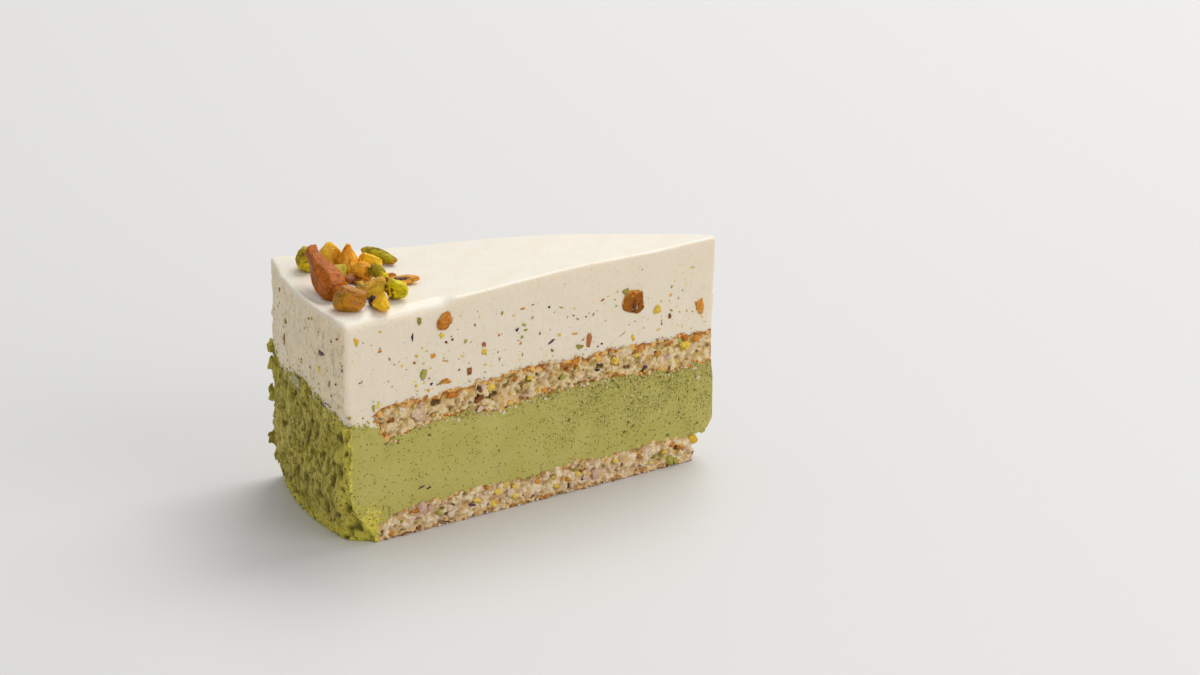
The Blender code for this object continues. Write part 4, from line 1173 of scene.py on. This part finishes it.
# Kind, pixel of the photograph, and width and height in millimetres, on the front cut
CUT_BITS = (
    ("dark", 421, 487.5, 1.9, 0.36), ("dark", 428.5, 488, 1.5, 0.36),
    ("yellow", 356, 342.5, 1.3, 1.5), ("orange", 380, 351, 1.1, 0.7), ("olive", 419, 321, 0.9, 1.5),
    ("dark", 412.5, 337, 0.7, 2.0), ("yellow", 380, 332, 0.7, 0.7),
    ("orange", 443.8, 320, 3.8, 3.4), ("yellow", 422, 348, 0.6, 0.6),
    ("orange", 432.8, 356.8, 1.3, 1.2), ("olive", 424, 374.5, 1.5, 1.9),
    ("yellow", 423.8, 363.8, 0.7, 0.5), ("orange", 447, 381.3, 2.5, 1.4),
    ("brown", 468.3, 370, 1.6, 2.1), ("brown", 446.3, 342.5, 0.7, 0.8),
    ("olive", 465.5, 340.8, 0.8, 0.9), ("yellow", 460.5, 316.3, 0.5, 0.7),
    ("yellow", 479.5, 316.3, 0.7, 0.8), ("orange", 475, 324.5, 0.5, 0.8),
    ("olive", 502, 313.8, 0.9, 1.2), ("orange", 522.3, 308.8, 1.3, 0.6),
    ("brown", 532.5, 305, 0.8, 0.5), ("dark", 538.5, 303.3, 0.4, 0.4),
    ("dark", 517.5, 330, 0.9, 0.9), ("olive", 524, 325, 1.0, 0.7), ("olive", 525.8, 330, 1.0, 0.6),
    ("brown", 484.5, 343.8, 1.0, 1.2), ("yellow", 483.8, 351.3, 1.1, 1.2),
    ("dark", 499.3, 359.3, 0.4, 0.7), ("olive", 523, 355, 0.6, 0.8), ("dark", 550.8, 342, 2.2, 0.6),
    ("dark", 552, 350, 0.4, 0.7), ("yellow", 559.5, 335, 0.7, 0.7),
    ("brown", 539.8, 333.8, 0.6, 0.7), ("orange", 575, 334, 1.3, 0.6),
    ("olive", 580, 346.3, 2.3, 1.2), ("brown", 589, 341.3, 1.9, 2.7),
    ("olive", 623, 333.8, 1.7, 0.7), ("yellow", 632.5, 338.8, 1.0, 1.6),
    ("yellow", 657, 310.5, 1.8, 2.1), ("brown", 670, 316.3, 0.8, 1.3),
    ("olive", 671.3, 310.5, 0.7, 0.5), ("orange", 700, 303.8, 2.0, 3.8),
    ("yellow", 661, 301, 0.6, 0.5), ("orange", 603, 300, 1.2, 0.5), ("brown", 593, 314.5, 0.9, 0.6),
    ("brown", 573.8, 315.5, 0.5, 0.4), ("olive", 567.5, 317.5, 0.5, 0.5),
    ("olive", 560.5, 307.5, 1.5, 0.4), ("orange", 566, 283.8, 2.0, 0.3),
    ("dark", 537.5, 279.5, 0.3, 0.3), ("dark", 642.5, 269.3, 0.3, 0.3),
    ("yellow", 693, 267.5, 1.4, 0.35), ("yellow", 692.5, 311.3, 0.5, 0.5),
    ("yellow", 677.5, 325, 0.4, 0.4), ("olive", 665, 287.5, 1.5, 0.3),
    ("olive", 624.5, 291.5, 1.6, 1.3), ("yellow", 617.5, 292.5, 0.6, 0.6),
    ("olive", 615, 300, 0.5, 0.5), ("olive", 616, 306, 0.5, 0.6), ("dark", 635, 321.3, 0.4, 0.4),
    ("yellow", 442.5, 334.5, 1.2, 1.5), ("orange", 458, 328.8, 0.6, 0.5),
    ("olive", 451.3, 336.3, 0.5, 0.4), ("olive", 362, 382, 0.6, 0.6),
    ("olive", 350, 418.3, 0.7, 0.6), ("dark", 431.3, 383.8, 0.6, 0.6),
    ("olive", 374, 408.8, 0.9, 1.5), ("yellow", 378.8, 405.5, 0.8, 1.2),
    # In the middle sponge
    ("yellow", 685, 345, 2.6, 2.2), ("orange", 697.5, 337.5, 2.4, 2.0),
    ("yellow", 615, 360, 1.6, 1.6), ("yellow", 637.5, 355, 1.2, 1.2),
    ("olive", 563.8, 376.3, 2.8, 1.6), ("orange", 575, 361, 2.4, 1.8),
    ("orange", 451.3, 394.5, 3.4, 1.8), ("almond", 417.5, 415, 3.2, 2.8),
    ("yellow", 491.3, 387.5, 1.8, 1.6), ("dark", 645, 367.5, 1.6, 0.5),
    ("brown", 478.8, 399.5, 2.6, 1.2), ("almond", 668.8, 357, 1.8, 1.2),
    ("yellow", 530, 378, 1.4, 1.0), ("orange", 545, 389, 1.6, 1.2),
    # In the base sponge
    ("yellow", 497.5, 492.5, 2.0, 1.6), ("almond", 511.3, 492.5, 2.4, 2.2),
    ("yellow", 476.3, 500, 2.2, 1.4), ("dark", 473.8, 505, 2.2, 0.8),
    ("orange", 537.5, 481.3, 1.6, 1.2), ("yellow", 556.3, 485, 1.6, 1.2),
    ("almond", 595, 475, 3.2, 2.4), ("almond", 585, 477.5, 2.0, 1.6), ("olive", 670, 460, 2.6, 2.2),
    ("yellow", 692.5, 438.5, 2.6, 2.4), ("orange", 680, 446.3, 2.2, 1.3),
    ("almond", 422.5, 507.5, 2.4, 2.8), ("orange", 413.8, 511.5, 2.8, 1.0),
    ("almond", 450, 507.5, 2.6, 1.6), ("brown", 418.8, 527, 1.2, 1.0),
    # Pale crumbs
    ("crumb", 503.8, 412.5, 1.0, 0.8), ("crumb", 458.8, 420, 0.7, 0.9),
    ("crumb", 545, 398.8, 0.8, 0.6), ("crumb", 587.5, 383.8, 1.0, 0.7),
    ("crumb", 697.5, 377.5, 1.1, 1.2), ("crumb", 695, 368, 1.6, 0.8),
    ("crumb", 402.5, 409, 2.0, 0.8),
)
# The same on the outer side of the white mousse
SIDE_BITS = (
    ("brown", 285, 339.5, 1.2, 2.4), ("olive", 285.5, 321.3, 1.4, 1.2),
    ("brown", 308.3, 318.8, 0.7, 0.6), ("dark", 322, 353.3, 2.2, 1.5),
    ("yellow", 319.3, 369.5, 2.4, 1.4), ("brown", 310.5, 367.5, 0.8, 0.5),
    ("orange", 313.8, 378.8, 0.7, 0.5), ("brown", 337, 338.8, 1.0, 0.8),
    ("olive", 328.8, 384.5, 0.8, 1.8), ("brown", 281, 289, 0.9, 0.9),
    ("dark", 322.5, 404, 0.9, 0.5),
)
# The same among the kernels on the top
TOP_BITS = (
    ("brown", 345, 277, 2.0, 1.6), ("orange", 349.5, 279, 2.4, 1.8), ("brown", 354, 281, 2.6, 1.8),
    ("brown", 358, 283, 2.2, 1.6), ("orange", 362, 282.5, 2.2, 1.6), ("brown", 366, 281, 2.0, 1.5),
    ("yellow", 360.5, 286, 2.0, 1.6), ("brown", 340, 281, 1.8, 1.5), ("orange", 347, 284, 1.6, 1.2),
    ("dark", 369, 294, 1.8, 1.5), ("brown", 371.5, 290.5, 1.6, 1.4),
    ("orange", 391, 276.5, 2.6, 1.4), ("brown", 384.5, 292, 1.6, 1.2),
    ("yellow", 412, 284.5, 0.9, 0.7), ("brown", 350.5, 282.5, 2.6, 1.9),
    ("brown", 356, 284.5, 2.4, 1.7), ("amber", 360.5, 287.5, 2.2, 1.8),
    ("brown", 365.5, 297.5, 2.6, 2.0), ("dark", 363, 294.5, 1.8, 1.6),
    ("brown", 387, 283.5, 2.4, 2.0), ("brown", 386, 288, 2.4, 2.2),
)


class Bits:
    """Gathers small broken bits by kind, and joins each kind into one mesh."""

    def __init__(self):
        self.rng = np.random.default_rng(77)
        self.shapes = {steps: ball(steps) for steps in (1, 2, 3)}
        self.points = {}
        self.faces = {}
        self.tones = {}

    def add(self, kind, place, out, width, height, depth, lift=0.0, steps=2):
        """One bit at a place on a surface, with its depth along the way out, and lifted that way."""
        rng = self.rng
        ball_points, ball_faces = self.shapes[steps]
        shape = ball_points * (1 + 0.16 * rng.normal(size=(len(ball_points), 1)))
        for n in range(6):
            direction = unit(rng.normal(size=3))
            shape, face = flatten(shape, direction, rng.uniform(0.42, 0.8))
        shape = shape * np.array([width, height, depth]) * MM / 2
        turn = rng.uniform(-0.5, 0.5)
        spun = shape.copy()
        spun[:, 0] = shape[:, 0] * math.cos(turn) - shape[:, 1] * math.sin(turn)
        spun[:, 1] = shape[:, 0] * math.sin(turn) + shape[:, 1] * math.cos(turn)
        out = unit(out)
        right = unit(np.cross((0, 0, 1), out) if abs(out[2]) < 0.9 else (1, 0, 0))
        up = np.cross(out, right)
        placed = spun @ np.array([right, up, out]) + np.array(place) + out * lift * MM
        known = self.points.setdefault(kind, [])
        start = sum(len(part) for part in known)
        known.append(placed)
        self.faces.setdefault(kind, []).extend([[corner + start for corner in face] for face in ball_faces])
        self.tones.setdefault(kind, []).append(np.full(len(placed), rng.random()))

    def on_cut(self, kind, side, r, z, width, height, depth, lift=0.0, steps=2):
        out = (math.sin(HALF), side * math.cos(HALF), 0)
        self.add(kind, fan(r, side, z), out, width, height, depth, lift, steps)

    def on_side(self, kind, t, z, surface, width, height, depth, lift=0.0, steps=2):
        """One bit on the outer side, whose distance to the axis the surface gives."""
        self.add(kind, fan(surface(t, z), t, z), outwards(t), width, height, depth, lift, steps)

    def join(self):
        for kind, (deep, pale, slot) in BIT_COLOURS.items():
            if kind not in self.points:
                continue
            coat = Coat("bits_of_" + kind, 0.5, subsurface=0.1, reach=0.0006, specular=0.2)
            tone = coat.sum(coat.mask("tone"), coat.patches(0.6, 0.3, 0.7, -0.3, 0.3, detail=3))
            colour = coat.colour(coat.span(tone, 0.1, 0.9), deep, pale)
            finish = coat.finish(colour, coat.bump(coat.grain(0.3), 0.08, 0.6))
            points = np.concatenate(self.points[kind])
            masks = {"tone": np.concatenate(self.tones[kind])}
            piece_from("bits_" + kind, points, self.faces[kind], masks, finish)


# How many bits are drawn
SPECKS_PER_CUT = 420
SPECKS_OUTSIDE = 260
NUTS_PER_SPONGE = 75
CRUMBS_PER_CUT = 340
SHREDS_OUTSIDE = 300
SHREDS_ON_LINE = 240
SHREDS_ON_CUT = 60
SHREDS_PER_FLAKE = 3


def fineness(size):
    return 1 if size < 0.5 else 2


def seen_bits(made):
    """Bits at their pixels of the photograph, made larger than they show, as their rims are buried."""
    for kind, x, y, width, height in CUT_BITS:
        r, z = on_front_cut(x, y)
        in_white = z > level(MIDDLE_TOP, r) + 0.0003
        lift = -0.12 if in_white else 0.0
        size = 1.5 if in_white else 1.35
        made.on_cut(kind, -1, r, z, width * size, height * size, min(width, height) * 0.6 + 0.2, lift, 3)
    for kind, x, y, width, height in SIDE_BITS:
        t, z = on_outer_side(x, y)
        depth = min(width, height) * 0.5 + 0.2
        made.on_side(kind, t, z, white_side, width * 1.5, height * 1.5, depth, -0.05)
    for kind, x, y, width, height in TOP_BITS:
        made.add(kind, on_top_face(x, y), (0, 0, 1), width, height, height, height * 0.3, 3)


def specks(made, rng):
    """Fine specks in the white mousse, most of them low down."""
    kinds = ["yellow", "olive", "orange", "brown", "dark"]
    for side in (-1, 1):
        for n in range(SPECKS_PER_CUT):
            r = rng.uniform(0.008, 0.118)
            z = level(MIDDLE_TOP, min(r, 0.112)) + 0.001 + 0.0195 * rng.random() ** 1.5
            if z > 0.0525 and rng.random() < 0.85:
                continue
            kind = rng.choice(kinds, p=(0.32, 0.28, 0.20, 0.09, 0.11))
            size = 0.34 + 0.95 * rng.random() ** 3
            if side > 0 and rng.random() < 0.14:
                size = rng.uniform(0.8, 2.2)
            height = size * rng.uniform(0.5, 1.2)
            made.on_cut(kind, side, r, z, size, height, size * 0.6, -0.05 - 0.1 * size, fineness(size))
    for n in range(SPECKS_OUTSIDE):
        t = rng.uniform(-0.99, 0.99)
        z = colour_line(CAKE_RADIUS, t) + 0.001 + 0.021 * rng.random() ** 1.2
        size = 0.25 + 0.75 * rng.random() ** 3
        kind = rng.choice(kinds, p=(0.22, 0.32, 0.14, 0.18, 0.14))
        lift = -0.1 * size
        made.on_side(kind, t, z, white_side, size * 0.9, size * 1.1, size * 0.6, lift, fineness(size))


def sponge_nuts(made, rng):
    """Bits of nut in both sponges."""
    kinds = ["yellow", "amber", "olive", "orange", "brown", "almond", "dark"]
    for side in (-1, 1):
        for lower in (True, False):
            for n in range(NUTS_PER_SPONGE):
                r = rng.uniform(0.013 if lower else 0.008, 0.108)
                low = 0.0 if lower else level(MIDDLE_BOTTOM, r)
                high = level(BASE_TOP if lower else MIDDLE_TOP, r)
                z = rng.uniform(low + 0.0008, high - 0.0008)
                kind = rng.choice(kinds, p=(0.12, 0.38, 0.12, 0.12, 0.08, 0.16, 0.02))
                size = 0.7 + 1.8 * rng.random() ** 2
                made.on_cut(kind, side, r, z, size, size * rng.uniform(0.5, 1.0), size * 0.6, -0.05, 2)


def crumbs(made, rng):
    """Crumbs along the foot of the slice and both faces of the middle sponge."""
    for side in (-1, 1):
        for n in range(CRUMBS_PER_CUT):
            r = rng.uniform(0.012, 0.108)
            edge = rng.choice(3, p=(0.36, 0.40, 0.24))
            line = (0.0003, level(MIDDLE_BOTTOM, r), level(MIDDLE_TOP, r))[edge]
            spread = (0.0002, 0.0006, 0.0003)[edge]
            z = max(0.0003, line + rng.normal() * spread)
            kind = rng.choice(["crumb", "orange", "brown"], p=(0.55, 0.3, 0.15))
            size = rng.uniform(0.3, 0.95)
            made.on_cut(kind, side, r, z, size, size * 0.8, size * 0.8, 0.08, fineness(size))


def shreds(made, rng):
    """Torn shreds of green: on the outer side, along its edge to the white, and on the flakes."""
    for n in range(SHREDS_OUTSIDE):
        t = rng.uniform(-1.0, 1.0)
        z = 0.001 + rng.random() * colour_line(GREEN_RADIUS, t)
        size = rng.uniform(0.5, 1.4)
        made.on_side("green", t, z, green_side, size * 0.4, size * 1.3, size * 0.35, 0.05)
    for n in range(SHREDS_ON_LINE):
        t = rng.uniform(-1.0, 1.0)
        z = colour_line(CAKE_RADIUS, t) + rng.exponential(0.0008) - 0.0004
        size = rng.uniform(0.3, 1.1)
        made.on_side("green", t, z, white_side, size, size * 0.9, size * 0.4, 0.02)
    for n in range(SHREDS_ON_CUT):
        r = rng.uniform(0.1125, 0.1198)
        z = colour_line(r, -1.0) + rng.exponential(0.0007) - 0.0003
        size = rng.uniform(0.25, 0.7)
        made.on_cut("green", -1, r, z, size * 1.3, size, size * 0.4, -0.02)
    for place_t, place_z, lift, size in FLAKES:
        for n in range(SHREDS_PER_FLAKE):
            z = place_z + rng.normal() * size * 0.4
            t = min(1.0, place_t + 0.02 * rng.normal())
            height = rng.uniform(2.6, 4.4)
            made.on_side("green", t, z, green_side, 0.4, height, rng.uniform(1.1, 2.0), 0.1, 3)


def bits():
    made = Bits()
    rng = np.random.default_rng(78)
    seen_bits(made)
    specks(made, rng)
    sponge_nuts(made, rng)
    crumbs(made, rng)
    shreds(made, rng)
    made.join()


# Studio


def area_light(name, place, aim, size, power, colour):
    data = bpy.data.lights.new(name, "AREA")
    data.shape = "RECTANGLE"
    data.size, data.size_y = size
    data.energy = power
    data.color = colour
    lamp = bpy.data.objects.new(name, data)
    lamp.location = place
    lamp.rotation_euler = (Vector(aim) - Vector(place)).to_track_quat("-Z", "Y").to_euler()
    link(lamp)


def studio():
    mesh = bmesh.new()
    bmesh.ops.create_grid(mesh, x_segments=1, y_segments=1, size=6.0)
    data = bpy.data.meshes.new("floor")
    mesh.to_mesh(data)
    mesh.free()
    floor = bpy.data.objects.new("floor", data)
    coat = Coat("pale_floor", 0.5, specular=0.3)
    colour = coat.colour(coat.grain(400.0), (0.690, 0.685, 0.680), (0.705, 0.70, 0.695))
    data.materials.append(coat.finish(colour))
    link(floor)
    world = bpy.data.worlds.new("room")
    world.use_nodes = True
    world.node_tree.nodes["Background"].inputs["Color"].default_value = (0.98, 0.99, 1.0, 1)
    world.node_tree.nodes["Background"].inputs["Strength"].default_value = 0.55
    bpy.context.scene.world = world
    area_light("key", (0.9, 0.7, 1.5), (0, 0, 0.03), (1.4, 1.0), 22, (1.0, 0.985, 0.96))
    area_light("fill", (0.9, -1.3, 0.8), (0, 0, 0.03), (1.2, 1.0), 9, (1.0, 0.98, 0.95))
    bpy.context.scene.view_settings.view_transform = "Standard"


def build():
    white()
    green_block()
    base_sponge_block(sponge("base_crumb", BASE_TONES_WITH_CREVICE_SHADE, BASE_CRUST))
    middle_sponge_block(sponge("middle_crumb", MIDDLE_TONES_WITH_CREVICE_SHADE, MIDDLE_CRUST))
    kernels()
    bits()
    camera()
    studio()


build()
